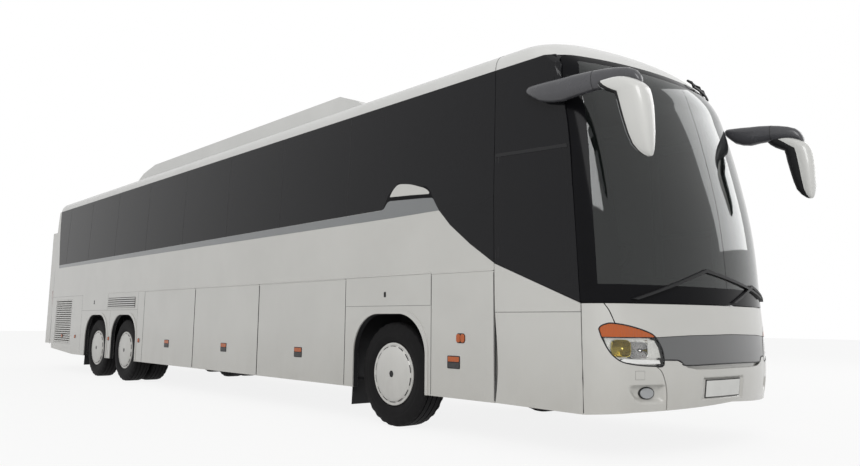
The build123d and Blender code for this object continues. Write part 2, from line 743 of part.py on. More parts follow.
def wheel_metal(inside_x, spindle_radius):
    """Rim, disc, hub and domed cover. The barrel runs from inside_x to the cover."""
    barrel = turned([(inside_x, bead_radius), (cover_x, bead_radius), (cover_x, bead_radius - barrel_wall),
                     (inside_x, bead_radius - barrel_wall)])
    disc = turned([(disc_x - disc_depth, spindle_radius), (disc_x - disc_depth, bead_radius - barrel_wall / 2),
                   (disc_x, bead_radius - barrel_wall / 2), (disc_x, spindle_radius)])
    hub_face = disc_x - disc_depth / 2
    hub = turned([(disc_x - hub_depth, spindle_radius), (disc_x - hub_depth, hub_radius), (hub_face, hub_radius),
                  (hub_face, spindle_radius)])
    return barrel + disc + turned(COVER, cover_x) + hub


WHEELS = [   # name, y, twin, spindle radius
    ("front_wheel", axle_front, False, spindle_front),
    ("drive_wheel", axle_drive, True, spindle_rear),
    ("tag_wheel", axle_tag, False, spindle_rear),
]
outer_plane = tyre_outer_x - half_tyre
for name, y, twin, spindle in WHEELS:
    planes = [outer_plane, outer_plane - twin_pitch] if twin else [outer_plane]
    metal = wheel_metal(planes[-1] - half_tyre + barrel_end, spindle + spindle_gap)
    for label, side in (("left", 1), ("right", -1)):
        place = Pos(0, y, hub_z)
        save(f"{name}_{label}_tyre", *[place * flip(tyre_ring(plane), side) for plane in planes])
        save(f"{name}_{label}_rim", place * flip(metal, side))

# ---------------------------------------------------------------- axles and knuckles

spindle_end = disc_x + 15
front_beam = block((-kingpin_x, kingpin_x), (-beam_half[0], beam_half[0]),
                   (hub_z - beam_half[1], hub_z + beam_half[1]))
for side in (1, -1):
    eye = rod((side * kingpin_x, 0, hub_z - eye_half), (side * kingpin_x, 0, hub_z + eye_half), beam_eye)
    bore = rod((side * kingpin_x, 0, hub_z - axle_slot), (side * kingpin_x, 0, hub_z + axle_slot),
               kingpin_radius + spindle_gap)
    seat = block(sorted((side * rail_x[0], side * rail_x[1])), (-axle_seat, axle_seat), (hub_z, front_rail[0]))
    front_beam = front_beam + eye - bore + seat
axle_solids = [front_beam]
for y, tube, tube_half in TUBES:
    beam = rod((-spindle_end, y, hub_z), (spindle_end, y, hub_z), spindle_rear)
    beam = beam + rod((-tube_half, y, hub_z), (tube_half, y, hub_z), tube)
    if y == axle_drive:
        beam = beam + rod((-differential[0], y, hub_z), (differential[0], y, hub_z), differential[1])
    for side in (1, -1):
        beam = beam + block(sorted((side * rail_x[0], side * rail_x[1])), (y - axle_seat, y + axle_seat),
                            (hub_z, rear_rail[0]))
    axle_solids.append(beam)
save("axles", *axle_solids)

fork_x = (kingpin_x - beam_eye, kingpin_x + 75)
fork_plate = 40
fork_web = 25                        # thickness of the upright web, and its half width
fork_half = 60
for label, side in (("left", 1), ("right", -1)):
    top, low = hub_z + eye_half, hub_z - eye_half
    fork = (block(fork_x, (-beam_eye, beam_eye), (top + pin_gap, top + fork_plate))
            + block(fork_x, (-beam_eye, beam_eye), (low - fork_plate, low - pin_gap))
            + block((fork_x[1] - fork_web, fork_x[1]), (-fork_half, fork_half),
                    (low - fork_plate, top + fork_plate))
            + rod((kingpin_x, 0, low - fork_plate / 2), (kingpin_x, 0, top + fork_plate / 2), kingpin_radius)
            + rod((fork_x[1] - fork_web / 2, 0, hub_z), (spindle_end, 0, hub_z), spindle_front))
    save(f"steering_knuckle_{label}", flip(fork, side))

# ---------------------------------------------------------------- engine

engine_half, engine_y, engine_z = ENGINE
engine = block((-engine_half, engine_half), engine_y, engine_z)
engine = engine + block((-rail_x[1], rail_x[1]), engine_mount_y, rear_rail)
for rail in rails + members:
    engine = engine - rail
save("engine_block", engine)

# ---------------------------------------------------------------- cabin

seats = []
for row in range(seat_rows):
    y = seat_first + row * seat_pitch
    outline = [(y + along, deck_top + up) for along, up in SEAT]
    for side in (1, -1):
        if side < 0 or not mid_y[0] - door_room < y < mid_y[1]:
            seats.append(flip(side_prism(outline, seat_half), side))
save("passenger_seats", *seats)

save("driver_seat", side_prism([(driver_seat_y + along, cab_floor + up) for along, up in DRIVER_SEAT],
                               driver_seat_x))

rim_plane = Plane(origin=wheel_centre, z_dir=wheel_tilt)
dash = side_prism(DASH, dash_x) & inner
column = rod(column_low, wheel_centre, column_radius)
save("dashboard", dash + column + rim_plane * Box(2 * rim_size[0], *spoke_size) + rim_plane * Torus(*rim_size))

save("luggage_racks", *[flip(cross_prism(RACK, rack_y), side) & inner for side in (1, -1)])

# ---------------------------------------------------------------- mirrors and wipers

mirrors = []
for side in (1, -1):
    pod = side_prism(MIRROR_POD, (cove_half, pod_out)) - outer
    head = loft([
        make_face(Polyline((x0, y0, z), (x1, y0, z), (x1, y1, z), (x0, y1, z), close=True))
        for z, x0, x1, y0, y1 in MIRROR_HEAD], ruled=True)
    mirrors.append(flip(pod + head, side))
save("mirrors", *mirrors)

wiper_layer = envelope(-wiper_stand) - outer
wipers = []
for outline in WIPERS:
    wipers += (wiper_layer & cross_prism(outline, (front_end, A_PILLAR[0][0]))).solids()
save("wipers", *wipers)

# ---------------------------------------------------------------- rear luggage box

box_shell = block((-box_half, box_half), (box_front, box_rear - box_door_depth - pin_gap), (box_low, box_high))
box_space = block((-box_half + box_wall, box_half - box_wall), (box_front + box_wall, box_rear),
                  (box_low + box_wall, box_high - box_wall))
save("rear_box", box_shell - box_space)
for label, side in (("left", 1), ("right", -1)):
    door = block((seam / 2, box_half), (box_rear - box_door_depth, box_rear), (box_low, box_high))
    save(f"rear_box_door_{label}", flip(door, side))
carrier = []
for z in carrier_z:
    for x in (-carrier_x, carrier_x):
        carrier.append(block((x - carrier_bar / 2, x + carrier_bar / 2), (rear_seam, box_front),
                             (z, z + carrier_bar)) - outer)
save("rear_box_brackets", *carrier)
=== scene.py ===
import math

import bmesh
import bpy
from mathutils import Matrix, Vector
from mathutils.geometry import delaunay_2d_cdt


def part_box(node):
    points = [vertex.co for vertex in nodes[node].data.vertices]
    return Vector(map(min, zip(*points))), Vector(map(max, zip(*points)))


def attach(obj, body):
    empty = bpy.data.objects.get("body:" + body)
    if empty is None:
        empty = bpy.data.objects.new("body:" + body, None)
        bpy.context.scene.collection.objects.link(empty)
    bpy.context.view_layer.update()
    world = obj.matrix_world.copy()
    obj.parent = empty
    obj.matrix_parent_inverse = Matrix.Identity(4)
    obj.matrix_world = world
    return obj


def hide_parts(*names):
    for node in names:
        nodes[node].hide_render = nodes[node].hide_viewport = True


# A three-axle touring coach. Metres, front towards -Y, the coach's right side at -X, ground at z = 0.
# Places along the coach are written from the front axle, positive towards the rear, as at(y).

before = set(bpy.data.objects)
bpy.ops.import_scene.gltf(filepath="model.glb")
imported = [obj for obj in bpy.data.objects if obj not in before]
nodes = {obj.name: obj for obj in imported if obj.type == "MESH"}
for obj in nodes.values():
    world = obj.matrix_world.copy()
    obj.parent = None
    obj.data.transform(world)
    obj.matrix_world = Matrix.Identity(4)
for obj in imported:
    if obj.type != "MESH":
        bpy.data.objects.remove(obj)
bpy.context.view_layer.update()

BODY = "coach_body"
AXLE = sum(corner[1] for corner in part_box("front_wheel_left_rim")) / 2
HALF = 1.275                        # half the body's width
BELT = 2.106                        # lower edge of the side glass
SHOULDER, SHOULDER_Z = 1.238, 3.265     # half the width, and height, where the roof begins
UP = Vector((0, 0, 1))
WHITE = (1.0, 1.0, 1.0, 1.0)


def at(y):
    """A place along the coach, from the front axle, in the frame's own Y."""
    return y + AXLE


# ---- materials


def new_material(name):
    """A material with its node tree and its shader."""
    material = bpy.data.materials.new(name)
    material.use_nodes = True
    return material, material.node_tree, material.node_tree.nodes["Principled BSDF"]


def feed(tree, node, inputs):
    """Sets a node's inputs: a socket is linked to its input, and anything else is the input's value."""
    for name, value in inputs.items():
        if isinstance(value, bpy.types.NodeSocket):
            tree.links.new(value, node.inputs[name])
        else:
            node.inputs[name].default_value = value
    return node


def add_node(tree, kind, inputs, **settings):
    """A new node with its settings and its inputs."""
    node = tree.nodes.new("ShaderNode" + kind)
    for name, value in settings.items():
        setattr(node, name, value)
    return feed(tree, node, inputs)


def noise(tree, scale, detail=4.0, rough=0.55, stretch=(1, 1, 1)):
    """Noise in the object's own space."""
    place = add_node(tree, "TexCoord", {}).outputs["Object"]
    mapped = add_node(tree, "Mapping", {"Vector": place, "Scale": stretch}).outputs["Vector"]
    return add_node(tree, "TexNoise", {"Vector": mapped, "Scale": scale, "Detail": detail,
                                       "Roughness": rough}).outputs["Fac"]


def clouded(tree, source, colour, stops):
    """The colour made a little darker and lighter by a value: stops are (position, factor)."""
    node = add_node(tree, "ValToRGB", {"Fac": source})
    for element, (position, factor) in zip(node.color_ramp.elements, stops):
        element.position = position
        element.color = (*(min(1.0, channel * factor) for channel in colour), 1.0)
    return node.outputs["Color"]


def spread(tree, source, low, high):
    """A value of 0 to 1 brought between two others."""
    return add_node(tree, "MapRange", {"Value": source, "To Min": low, "To Max": high}).outputs["Result"]


def bump(tree, source, strength, distance):
    """Normals that follow a value as a height."""
    node = add_node(tree, "Bump", {"Height": source, "Strength": strength, "Distance": distance})
    return node.outputs["Normal"]


def paint(name, colour, rough=0.28, coat=0.5, dirt=(0.3, 0.27, 0.22), dirt_amount=0.35):
    """Coachwork paint: slight cloudiness, a clear coat and road dirt that fades out above the sill."""
    material, tree, shader = new_material(name)
    place = add_node(tree, "TexCoord", {}).outputs["Object"]
    height = add_node(tree, "SeparateXYZ", {"Vector": place}).outputs["Z"]
    fading = add_node(tree, "MapRange", {"Value": height, "From Min": 0.3, "From Max": 0.95,
                                         "To Min": dirt_amount, "To Max": 0.0}).outputs["Result"]
    spots = noise(tree, 5.0, 8.0, 0.7, (1, 1, 0.4))
    share = add_node(tree, "Math", {0: fading, 1: spots}, operation="MULTIPLY").outputs["Value"]
    clean = clouded(tree, noise(tree, 1.3, 3.0), colour, ((0.35, 0.965), (0.65, 1.02)))
    mix = add_node(tree, "Mix", {}, data_type="RGBA")
    feed(tree, mix, {"Factor": share, "A": clean, "B": (*dirt, 1.0)})
    feed(tree, shader, {
        "Base Color": mix.outputs["Result"], "Roughness": spread(tree, spots, rough, rough + 0.12),
        "Coat Weight": coat, "Coat Roughness": 0.08, "Normal": bump(tree, noise(tree, 2.2, 2.0), 0.06, 0.01)})
    return material


def plain(name, colour, rough, metal=0.0, grain=60.0, depth=0.0006, variation=0.12, gloss_level=0.5):
    """A moulded, cast or painted surface: mottled colour and roughness, with a fine grain."""
    material, tree, shader = new_material(name)
    mottle = noise(tree, grain * 0.15, 5.0)
    feed(tree, shader, {
        "Base Color": clouded(tree, mottle, colour, ((0.3, 1 - variation), (0.7, 1 + variation))),
        "Roughness": spread(tree, mottle, max(0.02, rough - 0.075), rough + 0.075), "Metallic": metal,
        "Specular IOR Level": gloss_level, "Normal": bump(tree, noise(tree, grain, 6.0), 0.25, depth)})
    return material


def tinted_glass(name, colour, transmission, rough=0.02, gloss_level=0.5):
    """Coloured glass with faint smears and waves."""
    material, tree, shader = new_material(name)
    feed(tree, shader, {
        "Base Color": (*colour, 1.0), "Transmission Weight": transmission, "IOR": 1.5,
        "Specular IOR Level": gloss_level, "Roughness": spread(tree, noise(tree, 1.6), rough, rough + 0.035),
        "Normal": bump(tree, noise(tree, 0.9, 1.0), 0.05, 0.01)})
    return material


white_paint = paint("coach_white", (0.525, 0.52, 0.495))
grey_paint = paint("stripe_grey", (0.16, 0.168, 0.172), dirt_amount=0.1)
band_paint = paint("band_grey", (0.098, 0.1, 0.102), rough=0.34, dirt_amount=0.1)
roof_paint = paint("roof_white", (0.6, 0.6, 0.585), rough=0.35, dirt_amount=0.0)
wheel_paint = paint("wheel_white", (0.63, 0.625, 0.6), rough=0.33, coat=0.2, dirt=(0.16, 0.14, 0.12),
                    dirt_amount=0.45)
side_glass = tinted_glass("side_glass_dark", (0.01, 0.01, 0.012), 0.35, gloss_level=0.03)
screen_glass = tinted_glass("windscreen_tint", (0.08, 0.1, 0.096), 0.95, gloss_level=0.06)
black_band = plain("black_print", (0.006, 0.006, 0.007), 0.14, variation=0.05, depth=0.0001, gloss_level=0.06)
black_plastic = plain("black_plastic", (0.028, 0.028, 0.03), 0.45)
soft_black = plain("black_rubber", (0.011, 0.011, 0.012), 0.55, gloss_level=0.3)
tyre_rubber = plain("tyre_rubber", (0.0075, 0.0072, 0.0076), 0.74, grain=90, depth=0.0012, variation=0.25,
                    gloss_level=0.15)
chassis_black = plain("chassis_black", (0.035, 0.034, 0.033), 0.5)
cast_metal = plain("cast_metal", (0.085, 0.082, 0.078), 0.55, metal=0.4)
bare_aluminium = plain("bare_aluminium", (0.55, 0.56, 0.57), 0.34, metal=1.0, grain=140, depth=0.0002)
cabin_grey = plain("cabin_grey", (0.22, 0.22, 0.23), 0.6)
floor_vinyl = plain("floor_vinyl", (0.1, 0.095, 0.09), 0.6, grain=200)
seat_cloth = plain("seat_cloth", (0.09, 0.1, 0.15), 0.85, grain=420, depth=0.0015, variation=0.35)
lamp_clear = tinted_glass("lamp_clear", (0.95, 0.95, 0.93), 1.0)
tail_red = tinted_glass("tail_red", (0.3, 0.01, 0.01), 0.35, 0.08)
orange_lens = tinted_glass("orange_lens", (0.52, 0.105, 0.012), 0.2, 0.1)
fog_glass = tinted_glass("fog_glass", (0.7, 0.72, 0.74), 0.55, 0.04)
bulb_glass = plain("bulb_glass", (0.85, 0.82, 0.62), 0.15, variation=0.05)
chrome = plain("reflector_chrome", (0.8, 0.8, 0.8), 0.1, metal=1.0, grain=30, depth=0.0001,
               variation=0.06)
lamp_housing = plain("lamp_housing", (0.62, 0.62, 0.6), 0.22, metal=0.85)
halogen = plain("halogen_bowl", (0.86, 0.72, 0.22), 0.16, metal=0.9, variation=0.1)
plate_white = plain("blank_plate", (0.62, 0.62, 0.6), 0.35, variation=0.04)
mirror_white = paint("mirror_white", (0.6, 0.6, 0.58), rough=0.25, dirt_amount=0.0)
mirror_glass = plain("mirror_glass", (0.75, 0.77, 0.78), 0.05, metal=1.0, grain=8, depth=0.0001,
                     variation=0.03)
# dark grey pod paint whose tone is doubled as a painted reflection of the sky along the pod's top
pod_grey_with_painted_sheen = plain("pod_grey_with_painted_sheen", (0.06, 0.06, 0.066), 0.26, variation=0.06)
seam_grey = plain("seam_grey", (0.1, 0.1, 0.098), 0.6)
seat_trim = plain("seat_trim", (0.16, 0.16, 0.18), 0.7, grain=300)

NODE_MATERIALS = [(roof_paint, "roof roof_unit roof_hatch_front roof_hatch_rear"),
                  (screen_glass, "windscreen"),
                  (side_glass, "side_glass rear_window front_door_glass mid_door_glass"),
                  (black_band, "cab_frame"),
                  (chassis_black, "chassis_rails chassis_members rear_box_brackets"),
                  (soft_black, "wipers"),
                  (cast_metal, "axles steering_knuckle_left steering_knuckle_right engine_block"),
                  (black_plastic, "wheel_housings dashboard engine_grilles mirrors"),
                  (floor_vinyl, "floor_deck"), (cabin_grey, "luggage_bay luggage_racks"),
                  (bare_aluminium, "front_door_arm mid_door_arm"),
                  (seat_cloth, "passenger_seats driver_seat"), (lamp_clear, "front_lamps"),
                  (tail_red, "rear_lamps")]
named = {name: material for material, names in NODE_MATERIALS for name in names.split()}
for name, node in nodes.items():
    ending = {"tyre": tyre_rubber, "rim": wheel_paint}.get(name.split("_")[-1], white_paint)
    node.data.materials.clear()
    node.data.materials.append(named.get(name, ending))

# ---- meshes


def circle(centre, side, other, radius, count):
    """Points round a centre; an ellipse where side and other differ in length."""
    return [centre + (side * math.cos(turn) + other * math.sin(turn)) * radius
            for turn in (2 * math.pi * number / count for number in range(count))]


class Form:
    """Points and faces gathered for one mesh; each face has a material and each point may have a normal."""

    def __init__(self):
        self.points, self.faces, self.slots, self.materials, self.normals = [], [], [], [], []

    def add(self, points, faces, material, normals=None):
        """Faces are lists of numbers into these points."""
        start = len(self.points)
        if material not in self.materials:
            self.materials.append(material)
        self.points += [Vector(point) for point in points]
        self.faces += [[start + corner for corner in face] for face in faces]
        self.slots += [self.materials.index(material)] * len(faces)
        self.normals += normals or [None] * len(points)

    def loft(self, rings, material, caps=True, closed=True):
        """Skin over rings with the same number of points."""
        count, last = len(rings[0]), (len(rings) - 1) * len(rings[0])
        faces = []
        for row in range(0, last, count):
            for column in range(count if closed else count - 1):
                a, b = row + column, row + (column + 1) % count
                faces.append([a, b, b + count, a + count])
        if caps:
            faces += [list(range(count))[::-1], list(range(last, last + count))]
        self.add([point for ring in rings for point in ring], faces, material)

    def box(self, low, high, material):
        """A block between two corners in the frame's own places."""
        (x0, y0, z0), (x1, y1, z1) = low, high
        self.loft([[(x0, y0, z), (x1, y0, z), (x1, y1, z), (x0, y1, z)] for z in (z0, z1)], material)

    def relief(self, side, levels, material, caps=True):
        """(out, outline) levels on the body's side, of (y, z) points that lean in with it."""
        self.loft([[(side * (side_x(z) + out), at(y), z) for y, z in outline] for out, outline in levels],
                  material, caps)

    def plate(self, side, outline, depths, material):
        """One outline on the body's side, between two distances out."""
        self.relief(side, [(out, outline) for out in depths], material)

    def badges(self, side, y, z, rows):
        """Plates with rounded corners round a point of the body's side."""
        for off_y, off_z, half_y, half_z, radius, back, out, material in rows:
            limits = y + off_y - half_y, y + off_y + half_y, z + off_z - half_z, z + off_z + half_z
            self.plate(side, rounded(*limits, radius), (-back, out), material)

    def strip(self, side, y0, y1, z, section, material):
        """A bar along the body's side with a section of (out, up) points."""
        self.loft([[(side * (HALF + out), at(y), z + up) for out, up in section] for y in (y0, y1)], material)

    def lathe(self, profile, centre, material, segments, axis=(1, 0, 0)):
        """(along, radius) points turned round an axis; along is measured from the centre."""
        axis = Vector(axis).normalized()
        side = axis.orthogonal().normalized()
        self.loft([circle(Vector(centre) + axis * along, side, axis.cross(side), radius, segments)
                   for along, radius in profile], material, caps=False)

    def tube(self, path, radius, material):
        """A round bar along a path."""
        path = [Vector(point) for point in path]
        rings = []
        for number, point in enumerate(path):
            along = (path[min(number + 1, len(path) - 1)] - path[max(number - 1, 0)]).normalized()
            side = along.cross(Vector((0.13, 0.21, 0.97))).normalized()
            rings.append(circle(point, side, along.cross(side), radius, 10))
        self.loft(rings, material)

    def make(self, name, body=BODY, angle=32, bevel=0.0, replaces=()):
        """The finished piece, which rides on a body and may be drawn in place of CAD nodes."""
        mesh = bpy.data.meshes.new(name)
        mesh.from_pydata(self.points, [], self.faces)
        for material in self.materials:
            mesh.materials.append(material)
        mesh.polygons.foreach_set("material_index", self.slots)
        if any(self.normals):
            mesh.shade_smooth()
            found = [vertex.normal.copy() for vertex in mesh.vertices]
            chosen = [own or other for own, other in zip(self.normals, found)]
            mesh.normals_split_custom_set_from_vertices(chosen)
        else:
            work = bmesh.new()
            work.from_mesh(mesh)
            bmesh.ops.recalc_face_normals(work, faces=work.faces)
            work.to_mesh(mesh)
            work.free()
            mesh.shade_smooth()
            mesh.set_sharp_from_angle(angle=math.radians(angle))
        piece = bpy.data.objects.new(name, mesh)
        bpy.context.scene.collection.objects.link(piece)
        if bevel:
            edge = piece.modifiers.new("edges", "BEVEL")
            edge.width = bevel
            edge.segments = 2
            edge.limit_method = "ANGLE"
            edge.angle_limit = math.radians(40)
        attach(piece, body)
        if replaces:
            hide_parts(*replaces)
        return piece


# ---- the skin of the front

BOW = 2.53                          # radius of the bowed front, from above
CORNER = 0.33
# middle of the front, (z, y)
FACE = [(0.25, -2.815), (0.63, -2.87), (1.19, -2.85), (1.76, -2.82), (2.22, -2.75), (2.85, -2.6),
        (3.16, -2.47), (3.42, -2.15)]
# the roof's middle: its height, where the front reaches it and over what length, and the arc's edge
CROWN, CROWN_Y, CROWN_RISE = 3.57, -1.6, 0.55
COVE, COVE_Z = 1.1, 3.42


def front_y(z):
    """Where the middle of the front lies at a height: a smooth curve through FACE, rounded into the crown."""
    if z >= FACE[-1][0]:
        left = max(0.0, (CROWN - z) / (CROWN - FACE[-1][0]))
        return CROWN_Y - CROWN_RISE * math.sqrt(left)
    z = max(z, FACE[0][0])
    number = max(i for i in range(len(FACE) - 1) if FACE[i][0] <= z)
    (z0, y0), (z1, y1) = FACE[number], FACE[number + 1]

    def slope(i):
        if i == len(FACE) - 1:
            return CROWN_RISE / 2 / (CROWN - FACE[-1][0])
        (za, ya), (zb, yb) = FACE[max(i - 1, 0)], FACE[i + 1]
        return (yb - ya) / (zb - za)

    t, span = (z - z0) / (z1 - z0), z1 - z0
    return ((2 * t ** 3 - 3 * t ** 2 + 1) * y0 + (t ** 3 - 2 * t ** 2 + t) * span * slope(number)
            + (3 * t ** 2 - 2 * t ** 3) * y1 + (t ** 3 - t ** 2) * span * slope(number + 1))


def side_x(z):
    """Half the body's width at a height, where the glass leans in."""
    return HALF - (HALF - SHOULDER) * max(0.0, min(1.0, (z - BELT) / (SHOULDER_Z - BELT)))


def round_front(half, corner=CORNER):
    """Of a plan outline: angle and length of the bow, length of the corner, and where the side begins."""
    angle = math.asin((half - corner) / (BOW - corner))
    start = BOW - math.sqrt((BOW - corner) ** 2 - (half - corner) ** 2)
    return angle, BOW * angle, corner * (math.pi / 2 - angle), start


def skin(s, z, off=0.0, half=None, corner=CORNER):
    """Point and normal of the body, s measured round it from the middle of the front, at a height."""
    half = side_x(z) if half is None else half
    angle, bow, bend, start = round_front(half, corner)
    sign, s = (1 if s >= 0 else -1), abs(s)
    if s < bow:
        turn = s / BOW
        x, y = BOW * math.sin(turn), BOW * (1 - math.cos(turn))
    elif s < bow + bend:
        turn = angle + (s - bow) / corner
        x, y = half - corner + corner * math.sin(turn), start - corner * math.cos(turn)
    else:
        turn = math.pi / 2
        x, y = half, start + s - bow - bend
    rise = (front_y(z + 0.005) - front_y(z - 0.005)) / 0.01
    lean = (side_x(z + 0.005) - side_x(z - 0.005)) / 0.01
    normal = Vector((sign * math.sin(turn), -math.cos(turn), math.cos(turn) * rise - math.sin(turn) * lean))
    normal.normalize()
    return Vector((sign * x, at(front_y(z) + y), z)) + normal * off, normal


def on_side(points):
    """(y, z) points of the left side as (s, z)."""
    result = []
    for y, z in points:
        _, bow, bend, start = round_front(side_x(z))
        result.append((bow + bend + y - front_y(z) - start, z))
    return result


def mirrored(points):
    """The same outline on the other side, in the other order."""
    return [(-s, z) for s, z in points][::-1]


def inside(point, outline):
    """Whether a point lies in a polygon."""
    x, y = point
    found = False
    for (xa, ya), (xb, yb) in zip(outline, outline[1:] + outline[:1]):
        if (ya > y) != (yb > y) and x < (xb - xa) * (y - ya) / (yb - ya) + xa:
            found = not found
    return found


def dense(outline, step):
    """The outline with points no further apart than step."""
    result = []
    for (xa, ya), (xb, yb) in zip(outline, outline[1:] + outline[:1]):
        count = max(1, math.ceil(math.hypot(xb - xa, yb - ya) / step))
        result += [(xa + (xb - xa) * i / count, ya + (yb - ya) * i / count) for i in range(count)]
    return result


def smooth(points, count):
    """An open line of a few points as a smooth curve through them."""
    result = []
    for number, (a, b) in enumerate(zip(points, points[1:])):
        before, after = points[max(number - 1, 0)], points[min(number + 2, len(points) - 1)]
        for t in (step / count for step in range(count)):
            shares = ((2 * t - 1 - t * t) * t, 2 + (3 * t - 5) * t * t,
                      (1 + 4 * t - 3 * t * t) * t, (t - 1) * t * t)
            result.append(tuple(sum(share * value for share, value in zip(shares, values)) / 2
                                for values in zip(before, a, b, after)))
    return result + [points[-1]]


def through(points, place):
    """The value at a place on the line through (place, value) points."""
    place = max(points[0][0], min(points[-1][0], place))
    for (a, low), (b, high) in zip(points, points[1:]):
        if place <= b:
            return low + (high - low) * (place - a) / (b - a)


def area(outline):
    """Signed: above 0 where the outline turns anticlockwise."""
    return sum(xa * yb - xb * ya for (xa, ya), (xb, yb) in zip(outline, outline[1:] + outline[:1])) / 2


def panel(form, outline, material, off=0.0, flange=0.012, step=0.035, dent=None):
    """A sheet that follows the skin inside an outline of (s, z) points, with its edges turned in."""
    loop = dense(outline if area(outline) > 0 else outline[::-1], step)
    count = len(loop)
    (s0, s1), (z0, z1) = ((min(values), max(values)) for values in zip(*loop))
    across, upwards = math.ceil((s1 - s0) / step), math.ceil((z1 - z0) / step)
    grid = [(s0 + (s1 - s0) * i / across, z0 + (z1 - z0) * j / upwards)
            for i in range(1, across) for j in range(1, upwards)]
    flat = [Vector(point) for point in loop + [point for point in grid if inside(point, loop)]]
    edges = [(i, (i + 1) % count) for i in range(count)]
    corners, _, triangles = delaunay_2d_cdt(flat, edges, [], 0, 1e-7)[:3]

    def lifted(point):
        s, z = point
        place, normal = skin(s, z)
        if dent is None:
            return place + normal * off, normal
        along = UP.cross(normal).normalized()
        slope_s, slope_z = ((dent(s + a, z + b) - dent(s - a, z - b)) / 0.008
                            for a, b in ((0.004, 0), (0, 0.004)))
        bent = normal - along * slope_s - normal.cross(along) * slope_z
        return place + normal * (off + dent(s, z)), bent.normalized()

    places, normals = zip(*(lifted(corner) for corner in corners))
    kept = [list(triangle) for triangle in triangles
            if inside(sum((corners[i] for i in triangle), Vector((0, 0))) / 3, loop)]
    form.add(places, kept, material, list(normals))
    if flange:
        tops, normals = zip(*(lifted(point) for point in loop))
        lows = [place - normal * flange for place, normal in zip(tops, normals)]
        outward = [(tops[(i + 1) % count] - tops[i - 1]).normalized().cross(normals[i]).normalized()
                   for i in range(count)]
        faces = [[i, i + count, (i + 1) % count + count, (i + 1) % count] for i in range(count)]
        form.add([*tops, *lows], faces, material, outward * 2)


def line_on_skin(form, points, width, material, off=0.001, depth=0.004):
    """A thin strip along a line of (s, z) points."""
    rows = []
    for number, (s, z) in enumerate(points):
        place, normal = skin(s, z, off)
        before, after = points[max(number - 1, 0)], points[min(number + 1, len(points) - 1)]
        along = (skin(*after)[0] - skin(*before)[0]).normalized()
        across = along.cross(normal).normalized() * width / 2
        rows.append([place - across - normal * depth, place - across, place + across,
                     place + across - normal * depth])
    form.loft(rows, material)


# ---- front panels

PANEL_TOP, SCREEN_LOW = 1.164, 1.172     # edges of the front panel and of the windscreen above it
SILL = 0.347                        # lower edge of the sides
GAP = 0.009                         # width of the joints
# y of the seams of the side: behind the cab, behind the front panel, and ahead of the passenger door
CAB_SEAM, SIDE_SEAM, LEFT_DOOR = -1.42, -2.33, -2.206
# edge of the front pillar, (z, y)
A_PILLAR = [(1.176, -2.32), (1.58, -2.3), (1.97, -2.28), (2.38, -2.25), (2.63, -2.22), (2.89, -2.17),
            (3.14, -2.13), (3.25, -2.064)]
SWOOP_EDGE = [(-2.32, 1.168), (-1.424, 1.515)]      # (y, z), rising over the right side panel
# On the front, outlines are (s, z): s round the body from the middle, here for the left side.
# Headlamp: over the top from the outer corner, down the inner edge, and back below.
LAMP_TOP = [(1.338, 0.945), (1.343, 0.976), (1.322, 0.998), (1.289, 1.011), (1.246, 1.017), (1.134, 1.002),
            (1.011, 0.972), (0.922, 0.94), (0.887, 0.914)]
LAMP_INNER = [(0.887, 0.914), (0.858, 0.872), (0.831, 0.817), (0.821, 0.752), (0.824, 0.708)]
LAMP_LOW = [(0.842, 0.698), (0.967, 0.7), (1.093, 0.712), (1.186, 0.732), (1.249, 0.774), (1.289, 0.827),
            (1.317, 0.886), (1.33, 0.915)]
SPLIT_Z = 0.911                     # the orange indicator lies above this
# grey band across the front, and the edge of the bumper with its scoop, from the middle outwards
BAND_TOP = [(0.0, 0.934), (0.546, 0.925), (0.878, 0.91)]
BAND_LOW = [(0.0, 0.706), (0.259, 0.704), (0.602, 0.7), (0.646, 0.722), (0.689, 0.74), (0.817, 0.743)]
SCOOP = [(0.0, 0.667), (0.284, 0.665), (0.494, 0.668), (0.589, 0.683), (0.646, 0.716), (0.692, 0.736),
         (0.815, 0.738), (0.82, 0.706), (0.838, 0.69)]
BUMPER_SEAM = [(0.884, 0.688), (0.846, 0.655), (0.812, 0.575), (0.791, 0.49), (0.777, 0.366)]
BUMPER_LOW = [(0.0, 0.4), (0.415, 0.38), (0.777, 0.366), (1.07, 0.358), (1.295, 0.346)]
CORNER_SEAM = [(1.292, 1.164), (1.262, 1.12), (1.243, 1.075), (1.224, 1.021)]
BUMPER_END = 0.335                  # height of its lower edge at the side seam
FOG = (0.953, 0.493, 0.062, 0.041)  # s, z, half width, half height
# lower edge of the hollow round the fog lamp, its top, and s, s, z, z limits of the cover and the plate
FOG_LOW = [(0.8, 0.416), (1.001, 0.419), (1.066, 0.442), (1.121, 0.496), (1.152, 0.556)]
FOG_TOP = 0.558
COVER = (1.002, 1.078, 0.602, 0.662)
PLATE = (-0.374, 0.125, 0.445, 0.584)


def rectangle(a0, a1, b0, b1, grow=0.0):
    """The corners between two limits each way, the second one upwards."""
    a0, a1, b0, b1 = a0 - grow, a1 + grow, b0 - grow, b1 + grow
    return [(a0, b0), (a1, b0), (a1, b1), (a0, b1)]


def facing(s, z, off):
    """Point, normal and level direction of the body, for what is mounted on it."""
    centre, normal = skin(s, z, off)
    return centre, normal, Vector((-normal.y, normal.x, 0)).normalized()


def whole(half):
    """An outline across the coach from its half, which starts and ends in the middle."""
    return half + mirrored(half[1:-1])


def shifted(points, s=0.0, z=0.0):
    return [(a + s, b + z) for a, b in points]


def side_line(y, heights):
    """An upright line on the left side as (s, z)."""
    return on_side([(y, z) for z in heights])


def fade(value):
    """From 0 to 1 with soft ends."""
    value = max(0.0, min(1.0, value))
    return value * value * (3 - 2 * value)


